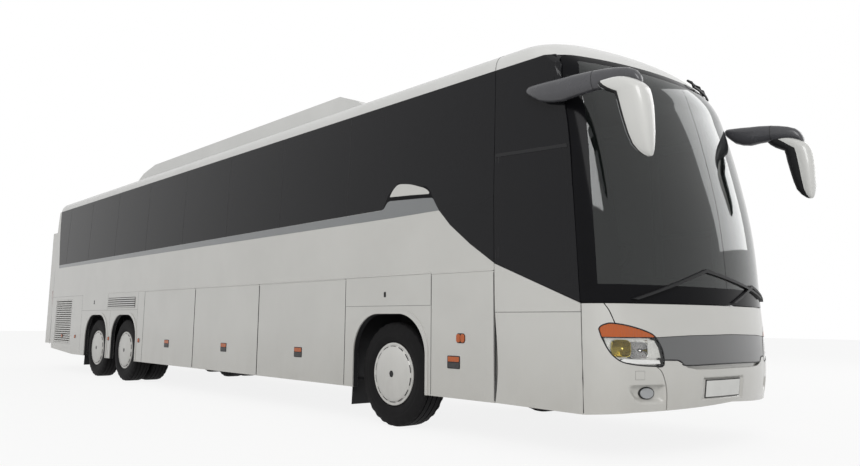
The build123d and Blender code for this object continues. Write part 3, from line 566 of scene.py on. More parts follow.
def fog_dent(s, z):
    """The hollow round each fog lamp: a sharp upper edge, and drawn out towards the corner and the floor."""
    s = abs(s)
    if not FOG_LOW[0][0] < s < FOG_LOW[-1][0] or not 0.4 < z < FOG_TOP:
        return 0.0
    return -0.042 * (fade((FOG_TOP - z) / 0.014) * fade((z - through(FOG_LOW, s)) / 0.04)
                     * fade((FOG_LOW[-1][0] - s) / 0.11) * fade((s - FOG_LOW[0][0]) / 0.045))


def plate_dent(s, z):
    """The shallow recess of the number plate."""
    reach = max(abs(s + 0.122) / 0.292, abs(z - 0.515) / 0.084)
    return -0.014 * min(1.0, max(0.0, (1 - reach) / 0.04))


def front_dent(s, z):
    return fog_dent(s, z) + plate_dent(s, z)


def front_panels():
    """Bumper, panels round the lamps and under the windscreen, and the sides up to the cab seam."""
    white = Form()
    seam = smooth(BUMPER_SEAM, 4)
    bumper = BUMPER_LOW[:2] + shifted(seam[::-1], s=-GAP / 2) + SCOOP[::-1]
    panel(white, whole(bumper), white_paint, dent=front_dent, step=0.018, flange=0.045)
    corner = smooth(CORNER_SEAM, 3)
    lamp_low = shifted([point for point in smooth(LAMP_LOW, 4) if point[0] > 0.89], s=0.002, z=-0.004)
    lamp_top = shifted(smooth(LAMP_TOP, 4), z=0.004)
    outer = shifted(seam, s=GAP / 2) + BUMPER_LOW[3:]
    outer += side_line(SIDE_SEAM - GAP / 2, (BUMPER_END, 0.5, 0.7, 0.9, 1.05, PANEL_TOP))
    outer += shifted(corner, s=GAP / 2)
    outer += [point for point in lamp_top[::-1] if point[0] > corner[-1][0] + GAP / 2]
    outer += lamp_low[::-1]
    for outline in (outer, mirrored(outer)):
        panel(white, outline, white_paint, dent=front_dent, step=0.013, flange=0.03)
    upper = [(0.0, PANEL_TOP)] + shifted(corner, s=-GAP / 2)
    upper += [point for point in lamp_top if point[0] < corner[-1][0] - GAP / 2]
    upper += shifted(BAND_TOP[::-1], z=0.004)
    panel(white, whole(upper), white_paint)
    ahead, behind = SIDE_SEAM + GAP / 2, CAB_SEAM - GAP
    low = side_line(ahead, (BUMPER_END, 0.6, 0.85, 1.098)) + side_line(behind, (1.098, SILL))
    high = side_line(ahead, (1.102, 1.16)) + on_side(SWOOP_EDGE)
    high += side_line(behind, (1.102,))
    door_side = side_line(ahead, (BUMPER_END, 0.6, 0.85, 1.17)) + side_line(LEFT_DOOR, (1.205, SILL))
    for outline in (mirrored(low), mirrored(high), door_side):
        panel(white, outline, white_paint)
    panel(white, rectangle(-0.81, 0.81, 0.655, 0.742), white_paint, off=-0.026, flange=0.0)
    white.make("front_panels", replaces=["front_panel"])

    band = Form()
    inner = [point for point in smooth(LAMP_INNER, 4)[::-1] if 0.75 < point[1] < 0.909]
    panel(band, whole(BAND_LOW + shifted(inner, s=-0.004) + BAND_TOP[::-1]), band_paint, off=-0.001)
    band.make("front_band")

    dark = Form()
    backing = [(0.0, 0.42), (1.3, 0.42), (1.3, 0.66), (0.78, 0.69), (0.78, 0.93), (1.215, 1.035),
               (1.245, 1.158), (0.0, 1.158)]
    panel(dark, whole(backing), soft_black, off=-0.065, flange=0.0, step=0.06)
    edge = smooth(BAND_LOW, 4)
    line_on_skin(dark, mirrored(edge) + edge[1:], 0.009, soft_black, off=0.002)
    joint = side_line(SIDE_SEAM, [BUMPER_END + 0.01 + 0.0475 * i for i in range(18)])
    for line in (joint, mirrored(joint)):
        line_on_skin(dark, line, 0.03, soft_black, off=-0.006)
    joint = side_line(behind, [SILL + 0.01 + 0.058 * i for i in range(20)])
    line_on_skin(dark, mirrored(joint), 0.014, soft_black, off=-0.004)
    dark.make("front_joints")


def headlamps():
    """Clear lens over reflectors, ribbed orange indicator above it and a black seal round both."""
    lens, bowl, indicator = Form(), Form(), Form()
    outline = smooth(LAMP_TOP, 4) + smooth(LAMP_INNER, 4)[1:] + smooth(LAMP_LOW, 4)
    low = [point for point in outline if point[1] < SPLIT_Z]
    high = [point for point in outline if point[1] > SPLIT_Z]
    split = [(0.885 + 0.045 * i, SPLIT_Z) for i in range(11)]
    sill = [(0.85, 0.715), (0.86, 0.742), (1.17, 0.752), (1.195, 0.742), (1.165, 0.728), (1.06, 0.716)]
    side_bowl = [(0.846, 0.76), (0.862, 0.83), (0.895, 0.89), (0.95, 0.892), (0.948, 0.762)]
    # s, z, half width and height, material: the outer reflector with its warm lamp, and the inner one
    reflectors = ((1.185, 0.83, 0.072, 0.062, halogen), (1.04, 0.815, 0.078, 0.06, chrome))
    depths = ((1.06, 0.002), (1.0, 0.004), (0.96, -0.012), (0.72, -0.034), (0.36, -0.046), (0.12, -0.048))
    bulb = [(-0.048, 0.016), (-0.022, 0.017), (-0.012, 0.012), (-0.009, 0.001)]
    for side in (1, -1):
        turn = (lambda points: points) if side > 0 else mirrored
        panel(lens, turn(low), lamp_clear, off=-0.002, step=0.02, flange=0.006)
        panel(indicator, turn(high), orange_lens, off=-0.002, step=0.009, flange=0.01,
              dent=lambda s, z: 0.0016 * math.sin(abs(s) * 2 * math.pi / 0.03))
        panel(bowl, turn(low), lamp_housing, off=-0.07, flange=0.0)
        line_on_skin(bowl, turn(outline) + turn(outline)[:2], 0.009, soft_black, off=0.001, depth=0.07)
        line_on_skin(bowl, turn(split), 0.006, soft_black, off=0.0)
        for s, z, wide, tall, material in reflectors:
            centre, normal, across = facing(side * s, z, -0.016)
            bowl.loft([[centre + normal * out + (across * a * wide + UP * b * tall) * size
                        for a, b in squircle(36, 3.6)] for size, out in depths], material)
            bowl.lathe(bulb, centre, bulb_glass, 20, normal)
        panel(bowl, turn(sill), chrome, off=-0.014, flange=0.04, step=0.03)
        panel(bowl, turn(side_bowl), lamp_housing, off=-0.018, flange=0.04, step=0.02,
              dent=lambda s, z: -0.02 * fade((abs(s) - 0.87) / 0.08))
    bowl.make("headlamp_reflectors", angle=40)
    lens.make("headlamp_lenses", replaces=["front_lamps"])
    indicator.make("front_indicators")


def front_fittings():
    """Fog lamps, the cover of the towing eye, and the blank number plate on its carrier."""
    form, sheets = Form(), Form()
    s, z, wide, high = FOG
    for side in (1, -1):
        centre, normal, across = facing(side * s, z, -0.034)
        for scale, depth, material in ((1.12, 0.0, soft_black), (1.0, 0.004, fog_glass)):
            form.loft([circle(centre + normal * (out + depth), across * wide, UP * high, scale * size, 40)
                       for size, out in ((1.0, -0.02), (1.0, 0.0), (0.9, 0.006), (0.02, 0.008))], material)
    panel(sheets, mirrored(rectangle(*COVER)), white_paint, off=0.002, step=0.02, flange=0.006)
    ring = mirrored(rectangle(*COVER, grow=0.002))
    line_on_skin(form, ring + ring[:1], 0.002, seam_grey, off=0.0006)
    for inset, depth, material in ((0.0, -0.008, soft_black), (0.007, -0.006, plate_white)):
        panel(sheets, rectangle(*PLATE, grow=-inset), material, off=depth, flange=0.004)
    sheets.make("front_plate_and_cover")
    form.make("fog_lamps")


SCREEN_TOP = (3.19, 3.25)           # roof edge over the middle, and from the pillars back
PILLAR_S = 1.55


def roof_edge(s):
    """Height of the roof's lower edge, which drops a little over the windscreen."""
    return SCREEN_TOP[0] + (SCREEN_TOP[1] - SCREEN_TOP[0]) * fade(abs(s) / PILLAR_S)


def s_to_y(y, z):
    """Place round the left half of the body where it has reached back to y at a height."""
    low, high = 0.0, 2.6
    for _ in range(30):
        middle = (low + high) / 2
        if skin(middle, z)[0].y < at(y):
            low = middle
        else:
            high = middle
    return low


def windscreen():
    """One bowed pane with a printed black border, its centre line and the black field along the bottom."""
    columns = levels = 60
    border, field_z = 3, 1.3      # columns of the border at each side, and the top of the black field
    rows = []
    for level in range(levels + 1):
        share = level / levels
        z = SCREEN_LOW + (SCREEN_TOP[1] - SCREEN_LOW) * share
        reach = s_to_y(through(A_PILLAR, z) - 0.006, z)
        places = [reach * (2 * column / columns - 1) for column in range(columns + 1)]
        rows.append([skin(s, SCREEN_LOW + (roof_edge(s) - SCREEN_LOW) * share) for s in places])
    clear, printed = [], []
    for level in range(levels):
        for column in range(columns):
            a = level * (columns + 1) + column
            middle = border <= column < columns - border and level / levels <= 0.955
            chosen = clear if middle and rows[level][column][0].z >= field_z else printed
            chosen.append([a, a + 1, a + columns + 2, a + columns + 1])
    form = Form()
    for off, turn, print_look in ((0.0, 1, black_band), (-0.008, -1, soft_black)):
        points = [point + normal * off for row in rows for point, normal in row]
        normals = [normal * turn for row in rows for point, normal in row]
        for faces, material in ((clear, screen_glass), (printed, print_look)):
            form.add(points, [face[::turn] for face in faces], material, normals)
    form.make("windscreen_pane", replaces=["windscreen"])
    trim = Form()
    line_on_skin(trim, [(0.0, field_z + 1.82 * i / 30) for i in range(31)], 0.004, black_band, off=0.0006)
    trim.make("windscreen_joint")


# ---- sides

RAIL_Z = 1.462                      # the flaps hang from a rail over this height
# front and rear edges of the luggage flaps
FLAP_BODIES = {"flap_right_1": (0.75, 2.6), "flap_right_2": (2.6, 4.42), "flap_right_3": (4.42, 6.27),
               "flap_left_1": (0.75, 2.8), "flap_left_2": (2.8, 4.85)}

# outlines of (y, z) points on the side
GREY_BAND = [(-0.713, 2.052), (-0.63, 2.17), (-0.612, 2.183), (-0.493, 2.194), (0.0, 2.221), (0.03, 2.222),
             (0.062, 2.214), (0.09, 2.189), (0.112, 2.16), (0.135, 2.146), (0.175, 2.14), (10.938, 2.106),
             (10.93, 2.045), (0.0, 2.045)]
FIN_TOP = [(0.028, 2.268), (-0.012, 2.319), (-0.06, 2.358), (-0.108, 2.375), (-0.18, 2.372),
           (-0.299, 2.352), (-0.414, 2.319), (-0.497, 2.292), (-0.55, 2.262), (-0.574, 2.238)]
FIN_LOW = [(-0.566, 2.226), (-0.3, 2.245), (0.02, 2.262)]
FIN_GAP = [(-0.63, 2.165), (-0.605, 2.205), (-0.59, 2.245), (-0.525, 2.305), (-0.1, 2.392), (0.055, 2.29),
           (0.142, 2.143), (0.06, 2.16)]
# seams of the side panels as y, y, z, z limits; the first one is on the right side only
SIDE_SEAMS = [(6.27, 6.27, 0.35, 1.455), (-0.61, -0.61, 1.167, 1.462), (0.75, 0.75, 0.35, 1.167),
              (-0.6, 0.74, 1.167, 1.167), (6.54, 6.54, 0.35, 1.455), (6.54, 9.3, 1.17, 1.17),
              (7.94, 7.94, 1.17, 1.45), (9.3, 9.3, 0.4, 1.45), (7.785, 7.785, 0.4, 1.17),
              (9.3, 11.19, 1.452, 1.452), (11.196, 11.196, 0.5, 2.04)]
GLASS_SEAMS = (0.77, 2.18, 3.58, 4.98, 6.38, 7.78, 9.18, 10.5)
# y, y, z, z limits
LOUVRE = (6.66, 7.92, 1.205, 1.382)
GRILLE = (9.9, 10.93, 0.53, 1.39)
LOUVRE_SLATS, GRILLE_SLATS = 5, 19
LOCKS = [("flap_right_1", 1.663), ("flap_right_2", 3.491), ("flap_right_3", 5.326), ("flap_left_1", 1.75),
         ("flap_left_2", 3.8), ("flap_right_front", -0.92), ("flap_left_front", -0.92)]
LOCK_Z, MARKER_Z = 0.66, 0.68
MARKER_Y = (6.42, 7.785, 9.6, 10.4)
# badges: middle y and z, half width and height, corner radius, how far back and out, material
LOCK_UNIT = [(0, -0.001, 0.082, 0.057, 0.012, 0.003, 0.003, soft_black),
             (0, -0.027, 0.07, 0.023, 0.008, 0.002, 0.0045, black_plastic),
             (0, 0.0255, 0.072, 0.0225, 0.008, 0.002, 0.007, orange_lens),
             (0, -0.028, 0.03, 0.01, 0.006, 0.002, 0.0065, chassis_black)]
SIDE_MARKER = [(0, 0, 0.034, 0.034, 0.014, 0.002, 0.003, soft_black),
               (0, 0, 0.029, 0.029, 0.012, 0.001, 0.012, orange_lens)]
WALL_LOCK = [(0, 0, 0.022, 0.034, 0.01, 0.002, 0.003, soft_black),
             (0, 0, 0.008, 0.014, 0.006, 0.001, 0.006, bare_aluminium)]
REPEATER = [(0, 0, 0.058, 0.044, 0.03, 0.002, 0.003, soft_black),
            (-0.027, 0, 0.024, 0.037, 0.02, 0.001, 0.01, orange_lens),
            (0.027, 0, 0.024, 0.037, 0.02, 0.001, 0.01, orange_lens)]


def side_of(body):
    """1 for the coach's left side and -1 for its right."""
    return -1 if "right" in body else 1


def stripes():
    """Grey band under the side glass, the panel and fin at its front end, and the dark gap between them."""
    form, dark = Form(), Form()
    for side in (1, -1):
        form.plate(side, GREY_BAND, (-0.004, 0.0022), grey_paint)
        form.plate(side, smooth(FIN_TOP, 4) + FIN_LOW, (-0.004, 0.0045), white_paint)
        dark.plate(side, FIN_GAP, (-0.008, 0.001), black_band)
    form.make("grey_stripes", bevel=0.0008)
    dark.make("fin_gaps")


def rails():
    """The trim rail over the luggage flaps, and the thin seams of the side panels."""
    form, seams = Form(), Form()
    section = [(-0.002, 0.0), (0.005, 0.001), (0.008, 0.006), (0.006, 0.012), (-0.002, 0.016)]
    for side, front, rear in ((-1, -0.6, 7.93), (1, -0.6, 4.87), (1, 5.76, 7.93)):
        form.strip(side, front, rear, RAIL_Z, section, white_paint)
    form.make("trim_rails")
    for side in (1, -1):
        for limits in SIDE_SEAMS if side < 0 else SIDE_SEAMS[1:]:
            seams.plate(side, rectangle(*limits, grow=0.0018), (-0.003, 0.0006), seam_grey)
        for y in GLASS_SEAMS:
            seams.plate(side, rectangle(y - 0.004, y + 0.004, 2.112, 3.246), (-0.004, 0.0006), soft_black)
    seams.make("side_seams")


def rounded(y0, y1, z0, z1, radius, count=5):
    """A rectangle of (y, z) points with rounded corners."""
    points = []
    for y, z, start in ((y1 - radius, z1 - radius, 0), (y0 + radius, z1 - radius, 90),
                        (y0 + radius, z0 + radius, 180), (y1 - radius, z0 + radius, 270)):
        for step in range(count + 1):
            turn = math.radians(start + 90 * step / count)
            points.append((y + radius * math.cos(turn), z + radius * math.sin(turn)))
    return points


def seals():
    """Dark rubber along the upright edges of the luggage flaps."""
    spans = dict(FLAP_BODIES, flap_right_front=(CAB_SEAM, -0.61), flap_left_front=(CAB_SEAM, -0.61))
    for body, (front, rear) in spans.items():
        form = Form()
        for y, step in ((front, 1), (rear, -1)):
            outline = rectangle(y + step * 0.0035, y + step * 0.008, SILL + 0.012, RAIL_Z - 0.02)
            form.plate(side_of(body), outline, (-0.003, 0.0008), soft_black)
        form.make(body + "_seals", body)


def markers():
    """Lock units with an orange marker on each flap, small markers and the repeaters on the walls."""
    for body, y in LOCKS:
        form = Form()
        form.badges(side_of(body), y, LOCK_Z, LOCK_UNIT)
        form.make(f"lock_{body}", body=body, bevel=0.0015)
    form = Form()
    for side in (1, -1):
        for y in MARKER_Y:
            form.badges(side, y, MARKER_Z, SIDE_MARKER)
        form.badges(side, 8.64, 1.315, WALL_LOCK)
        form.badges(side, 0.081, 1.281, [(0, 0, 0.016, 0.026, 0.008, 0.002, 0.004, soft_black)])
    form.make("side_markers", bevel=0.002)
    for body in ("flap_right_front", "flap_left_front"):
        form = Form()
        form.badges(side_of(body), -1.01, 0.872, REPEATER)
        form.make(f"repeater_{body}", body=body, bevel=0.003)


def louvres():
    """The small louvre over the drive wheel and the tall grille of the engine, with white slats."""
    form, grille = Form(), Form()
    for side in (1, -1):
        y0, y1, z0, z1 = LOUVRE
        form.plate(side, rounded(y0, y1, z0, z1, 0.012), (-0.002, 0.0015), soft_black)
        pitch = (z1 - z0) / LOUVRE_SLATS
        section = [(0.0, 0.004), (0.011, 0.004), (0.013, 0.008), (0.006, pitch * 0.66), (0.0, pitch * 0.7)]
        for number in range(LOUVRE_SLATS):
            form.strip(side, y0 + 0.012, y1 - 0.012, z0 + pitch * number, section, white_paint)
        y0, y1, z0, z1 = GRILLE
        back, outer, inner = (rounded(y0 + inset, y1 - inset, z0 + inset, z1 - inset, radius)
                              for inset, radius in ((0.01, 0.01), (0.002, 0.03), (0.026, 0.015)))
        grille.plate(side, back, (-0.04, -0.03), soft_black)
        frame_levels = ((-0.036, outer), (-0.001, outer), (-0.001, inner), (-0.036, inner))
        grille.relief(side, frame_levels, white_paint, caps=False)
        pitch = (z1 - z0 - 0.06) / GRILLE_SLATS
        section = [(-0.03, 0.024), (-0.004, 0.0), (-0.001, 0.004), (-0.001, 0.022), (-0.006, 0.026),
                   (-0.03, 0.034)]
        for number in range(GRILLE_SLATS):
            grille.strip(side, y0 + 0.02, y1 - 0.02, z0 + 0.03 + pitch * number, section, white_paint)
    form.make("louvres")
    grille.make("engine_grille_slats", replaces=["engine_grilles"])


def mudflaps():
    """Rubber flaps behind the wheels."""
    form = Form()
    section = [(0.88, 0.0), (1.235, 0.0), (1.235, 0.008), (0.88, 0.008)]
    for side in (1, -1):
        for y, low in ((0.64, 0.16), (9.08, 0.17)):
            form.loft([[(side * x, at(y + (0.42 - z) * 0.06 + out), z) for x, out in section]
                       for z in (low, low + 0.02, 0.3, 0.42)], soft_black)
    form.make("mudflaps", bevel=0.002)


def arch_seals():
    """Black seals inside the wheel arches."""
    form = Form()
    radius, top, foot = 0.4, 1.09, 0.35
    bend = [math.pi / 2 * i / 12 for i in range(13)]
    for front, rear in ((-0.54, 0.59), (6.55, 7.67), (7.9, 9.02)):
        path = [(front, foot), (front, top - radius)]
        path += [(front + radius * (1 - math.cos(t)), top - radius * (1 - math.sin(t))) for t in bend[1:]]
        path += [(rear - radius * (1 - math.sin(t)), top - radius * (1 - math.cos(t))) for t in bend]
        path += [(rear, foot)]
        for side in (1, -1):
            rings = []
            for y, z in path:
                inner = y + (0.006 if y < (front + rear) / 2 else -0.006)
                corners = ((0.055, y, z), (0.004, y, z), (0.004, inner, z - 0.004), (0.055, inner, z - 0.004))
                rings.append([(side * (HALF - depth), at(place), level) for depth, place, level in corners])
            form.loft(rings, soft_black)
    form.make("arch_seals")


# ---- wheels

HUB_Z = 0.505
TYRE_HALF, TYRE_OUT = 0.1475, HALF - 0.04
TWIN_PITCH = 0.325                  # between the two tyres of the drive wheel
BEAD = 0.288
WHEELS = [("front_wheel", 0.0, 1), ("drive_wheel", 7.11, 2), ("tag_wheel", 8.46, 1)]
# half of a tyre's section, from the bead to the middle of the tread: across from its middle, radius
TYRE = [(0.11, BEAD), (0.118, 0.3), (0.124, 0.312), (0.136, 0.33), (0.1462, 0.365), (0.1468, 0.395),
        (0.1462, 0.398), (0.1474, 0.402), (0.1466, 0.42), (0.142, 0.448), (0.136, 0.47), (0.13, 0.486),
        (0.12, 0.4985), (0.108, 0.502), (0.094, 0.5035), (0.0935, 0.4925), (0.0825, 0.4925),
        (0.082, 0.5042), (0.036, 0.5048), (0.0355, 0.4935), (0.0245, 0.4935), (0.024, 0.5049)]
COVER_X = TYRE_OUT - 0.026          # outer plane of the wheel cover
DISC_X = COVER_X - 0.075
SLOTS = 14                          # round the edge of the cover
NUTS, NUT_CIRCLE = 10, 0.1675
# turned parts as (along, radius) points: the cover with its middle, then the disc and the hub
DOME = [(-0.002, 0.276), (0.0, 0.286), (0.003, 0.303), (0.012, 0.302), (0.0145, 0.298), (0.013, 0.284),
        (0.009, 0.276), (0.0085, 0.273), (0.02, 0.264), (0.024, 0.255), (0.029, 0.225), (0.033, 0.18),
        (0.036, 0.12), (0.0378, 0.05)]
RIM = [(COVER_X, DOME, wheel_paint, 96),
       (COVER_X, [(0.0378, 0.05), (0.0378, 0.034), (0.034, 0.032)], wheel_paint, 48),
       (COVER_X, [(0.03, 0.034), (0.0335, 0.03), (0.0345, 0.024), (0.0345, 0.0005)], soft_black, 32),
       (DISC_X, [(0.0, 0.28), (0.0, 0.125), (-0.022, 0.12), (-0.025, 0.28)], wheel_paint, 72),
       (DISC_X, [(-0.09, 0.062), (-0.09, 0.118), (-0.02, 0.119), (-0.012, 0.062)], cast_metal, 48)]
NUT = [(0.0, 0.015), (0.022, 0.015), (0.026, 0.011), (0.026, 0.0005)]


def tyre(form, middle, side, y):
    """One tyre with grooves round the tread and notches along its shoulders."""
    section = TYRE + [(-across, radius) for across, radius in TYRE[::-1]]
    turns, count = 120, len(section)
    points, faces = [], []
    for number in range(turns):
        turn = 2 * math.pi * number / turns
        for column, (across, radius) in enumerate(section):
            if number % 4 in (0, 1) and 0.1 < abs(across) < 0.1425 and radius > 0.44:
                radius -= 0.007
            points.append((side * (middle + across), at(y) + radius * math.sin(turn),
                           HUB_Z - radius * math.cos(turn)))
            here, following = number * count, (number + 1) % turns * count
            after = (column + 1) % count
            faces.append([here + column, here + after, following + after, following + column])
    form.add(points, faces, tyre_rubber)


def turned(form, side, place, start, profile, material, segments):
    """A part turned round an axle at (y, z), of (along, radius) points outwards from a distance."""
    form.lathe([(side * (start + along), radius) for along, radius in profile], (0, at(place[0]), place[1]),
               material, segments)


def wheels():
    """Tyres, rims with their covers and cooling slots, hubs and wheel nuts."""
    for name, y, count in WHEELS:
        for label, side in (("left", 1), ("right", -1)):
            body = f"{name}_{label}"
            rubber, metal = Form(), Form()
            planes = [TYRE_OUT - TYRE_HALF - TWIN_PITCH * number for number in range(count)]
            for plane in planes:
                tyre(rubber, plane, side, y)
            rubber.make(f"{body}_rubber", body=body, angle=28, replaces=[f"{body}_tyre"])
            for row in RIM:
                turned(metal, side, (y, HUB_Z), *row)
            inner = planes[-1] - TYRE_HALF + 0.03 - COVER_X
            well = [(-0.01, 0.275), (inner, 0.275), (inner, 0.287), (-0.004, 0.287)]
            turned(metal, side, (y, HUB_Z), COVER_X, well, wheel_paint, 72)
            for number in range(SLOTS):
                turn, span = 2 * math.pi * (number + 0.5) / SLOTS, 0.62 * math.pi / SLOTS
                ring = [(radius, turn + way * span * (i / 3 - 1))
                        for radius, way in ((0.2715, 1), (0.2665, -1)) for i in range(7)]
                metal.loft([[(side * (COVER_X + out), at(y) + radius * math.cos(angle),
                              HUB_Z + radius * math.sin(angle)) for radius, angle in ring]
                            for out in (0.004, 0.0185)], soft_black)
            for number in range(NUTS):
                turn = 2 * math.pi * number / NUTS
                place = (y + NUT_CIRCLE * math.cos(turn), HUB_Z + NUT_CIRCLE * math.sin(turn))
                turned(metal, side, place, DISC_X, NUT, cast_metal, 6)
            metal.make(f"{body}_metal", body=body, angle=30, replaces=[f"{body}_rim"])


# ---- mirrors

# head from below: z, then inner x, outer x, front y, rear y; its top is drawn out rearwards
HEAD = [(2.197, 1.335, 1.362, -3.032, -3.0), (2.208, 1.322, 1.38, -3.04, -2.978),
        (2.24, 1.31, 1.402, -3.048, -2.94), (2.292, 1.302, 1.424, -3.056, -2.9),
        (2.373, 1.296, 1.446, -3.063, -2.872), (2.47, 1.292, 1.464, -3.064, -2.848),
        (2.562, 1.29, 1.476, -3.062, -2.827), (2.64, 1.29, 1.484, -3.052, -2.812),
        (2.69, 1.29, 1.487, -3.04, -2.8), (2.712, 1.29, 1.488, -3.026, -2.752),
        (2.736, 1.29, 1.487, -3.004, -2.708), (2.762, 1.291, 1.484, -2.972, -2.672),
        (2.79, 1.293, 1.476, -2.92, -2.648), (2.808, 1.3, 1.46, -2.87, -2.645),
        (2.82, 1.32, 1.43, -2.82, -2.69)]
# pod from the roof to the head: y, middle x, middle z, half width, half height
POD = [(-1.822, 1.29, 2.947, 0.006, 0.008), (-1.835, 1.288, 2.948, 0.022, 0.022),
       (-1.87, 1.288, 2.942, 0.04, 0.042), (-1.92, 1.29, 2.926, 0.05, 0.058),
       (-2.0, 1.295, 2.902, 0.056, 0.08), (-2.11, 1.3, 2.886, 0.058, 0.092),
       (-2.226, 1.305, 2.876, 0.058, 0.095), (-2.362, 1.312, 2.878, 0.056, 0.088),
       (-2.546, 1.322, 2.872, 0.054, 0.079), (-2.652, 1.33, 2.864, 0.052, 0.074),
       (-2.78, 1.34, 2.851, 0.05, 0.065), (-2.88, 1.35, 2.832, 0.048, 0.056),
       (-2.94, 1.356, 2.806, 0.042, 0.046), (-2.975, 1.36, 2.772, 0.03, 0.034),
       (-2.985, 1.362, 2.75, 0.012, 0.016)]
LEFT_POD = 0.64                     # the pod over the passenger door is shorter by this


def squircle(count, power=3.2):
    """Points of a rounded square from -1 to 1."""
    pairs = [(math.cos(turn), math.sin(turn)) for turn in (2 * math.pi * i / count for i in range(count))]
    return [tuple(math.copysign(abs(value) ** (2 / power), value) for value in pair) for pair in pairs]


def mirrors():
    """White heads, each with a black rim round two glasses, on grey pods from the roof, whose grey is
    lightened as a painted reflection.
    """
    form, glasses = Form(), Form()
    ring, path = squircle(40), squircle(28, 2.4)
    rim = [number for number, (a, b) in enumerate(ring)
           if b > (0.48 if a > 0 else 0.5) or (a < -0.7 and b > -0.1)]
    shell = list(range(rim[-1], len(ring))) + list(range(0, rim[0] + 1))
    face = [number for number in rim if ring[number][1] > 0.93]
    for side in (1, -1):
        head = [[(side * (x0 + x1 + a * (x1 - x0)) / 2, at((y0 + y1 + b * (y1 - y0)) / 2), z)
                 for a, b in ring] for z, x0, x1, y0, y1 in HEAD]
        for part, material in ((shell, mirror_white), (rim, soft_black)):
            form.loft([[row[number] for number in part] for row in head], material, caps=False, closed=False)
        for end in (head[0], head[-1]):
            form.add(end, [list(range(len(ring)))], mirror_white)
        for low, high in ((2, 8), (10, 13)):
            glasses.loft([[(row[number][0], row[number][1] + off, row[number][2])
                           for part, off in ((face, 0.0012), (face[::-1], -0.004)) for number in part]
                          for row in head[low:high]], mirror_glass)
        shrink = 1.0 if side < 0 else LEFT_POD
        end_y = POD[-1][0]
        pod = [(end_y + (y - end_y) * shrink, *rest) for y, *rest in POD]
        y, x, z, wide, high = pod[8]
        collar = [(y + along, x, z, wide + grow, high + grow)
                  for along, grow in ((-0.002, -0.003), (-0.002, 0.0008), (0.002, 0.0012), (0.002, -0.003))]
        # the pods' grey carries a painted reflection: their base colour is lightened to stand in for the
        # sky's sheen
        for rows, material, caps in ((pod, pod_grey_with_painted_sheen, True), (collar, soft_black, False)):
            form.loft([[(side * (x + a * wide), at(y), z + b * high) for a, b in path]
                       for y, x, z, wide, high in rows], material, caps)
    form.make("mirror_housings", angle=50, replaces=["mirrors"])
    glasses.make("mirror_glasses", angle=40)


# ---- roof

# half of the roof's section from the side seam to the middle
ROOF_SECTION = [(1.2385, 3.25), (1.238, 3.265), (1.232, 3.3), (1.22, 3.335), (1.2, 3.365), (1.17, 3.393),
                (1.135, 3.412)]
ROOF_X = (1.1, 1.05, 0.98, 0.88, 0.76, 0.62, 0.48, 0.33, 0.18, 0.08, 0.0)
ROOF_BACK = [(2.85, 11.36), (3.16, 11.33), (3.42, 11.26), (3.66, 11.12)]     # z, y


def roof_section():
    """The shoulder, then the crown's arc to the middle, with a place at the hatches' edge."""
    rise = CROWN - COVE_Z
    radius = (COVE ** 2 + rise ** 2) / 2 / rise
    return ROOF_SECTION + [(x, CROWN - radius + math.sqrt(radius ** 2 - x ** 2)) for x in ROOF_X]


HATCHES = [(-0.35, 0.35), (9.0, 9.7)]
# where the roof's straight part has its cross lines
STRAIGHT = [CAB_SEAM, -1.0, -0.35, 0.35, 0.8, 1.4, 3.0, 5.0, 7.0, 8.0, 9.0, 9.7, 10.5, 11.0]


def roof():
    """The smooth shell of the roof, with its front dome, the holes of the hatches and their curbs."""
    form = Form()
    rows = []
    for x, z in roof_section():
        half = max(x, 0.001)
        corner = min(CORNER, half * 0.72)
        _, bow, bend, _ = round_front(half, corner)
        row = []
        for s in [bow * i / 16 for i in range(17)] + [bow + bend * i / 14 for i in range(1, 15)]:
            row.append(skin(s, roof_edge(s) if z == ROOF_SECTION[0][1] else z, half=half, corner=corner)[0])
        begin = row[-1].y
        left = max(0.0, at(STRAIGHT[0]) - begin)
        row += [Vector((half, begin + left * i / 5, z)) for i in range(1, 6)]
        last = row[-1].y
        row += [Vector((half, max(at(y), last), z)) for y in STRAIGHT[1:]]
        end, small = through(ROOF_BACK, z), min(0.14, half * 0.6)
        for turn in (math.pi / 2 * i / 6 for i in range(7)):
            round_x, round_y = half + small * (math.cos(turn) - 1), end + small * (math.sin(turn) - 1)
            row.append(Vector((round_x, at(round_y), z)))
        rows.append(row + [Vector((0.0, at(end), z))])
    count = len(rows[0])
    for side in (1, -1):
        points = [Vector((side * point.x, point.y, point.z)) for row in rows for point in row]
        kept = []
        for a in (row * count + column for row in range(len(rows) - 1) for column in range(count - 1)):
            face = [a, a + 1, a + count + 1, a + count]
            middle = sum((points[i] for i in face), Vector()) / 4
            if not any(at(front) < middle.y < at(rear) and abs(middle.x) < 0.33 for front, rear in HATCHES):
                kept.append(face)
        form.add(points, kept, roof_paint)
        lining = [point + Vector((-side * 0.03 if abs(point.x) > 0.5 else 0, 0, -0.035)) for point in points]
        form.add(lining, [face[::-1] for face in kept], cabin_grey)
    for front, rear in HATCHES:
        curb = ((0.36, 0.03, 3.535), (0.36, 0.03, 3.589), (0.328, -0.002, 3.589), (0.328, -0.002, 3.51))
        form.loft([[(x, at(y), z) for x, y in rectangle(-reach, reach, front - grow, rear + grow)]
                   for reach, grow, z in curb], roof_paint, caps=False)
    form.make("roof_shell", angle=45, replaces=["roof"])


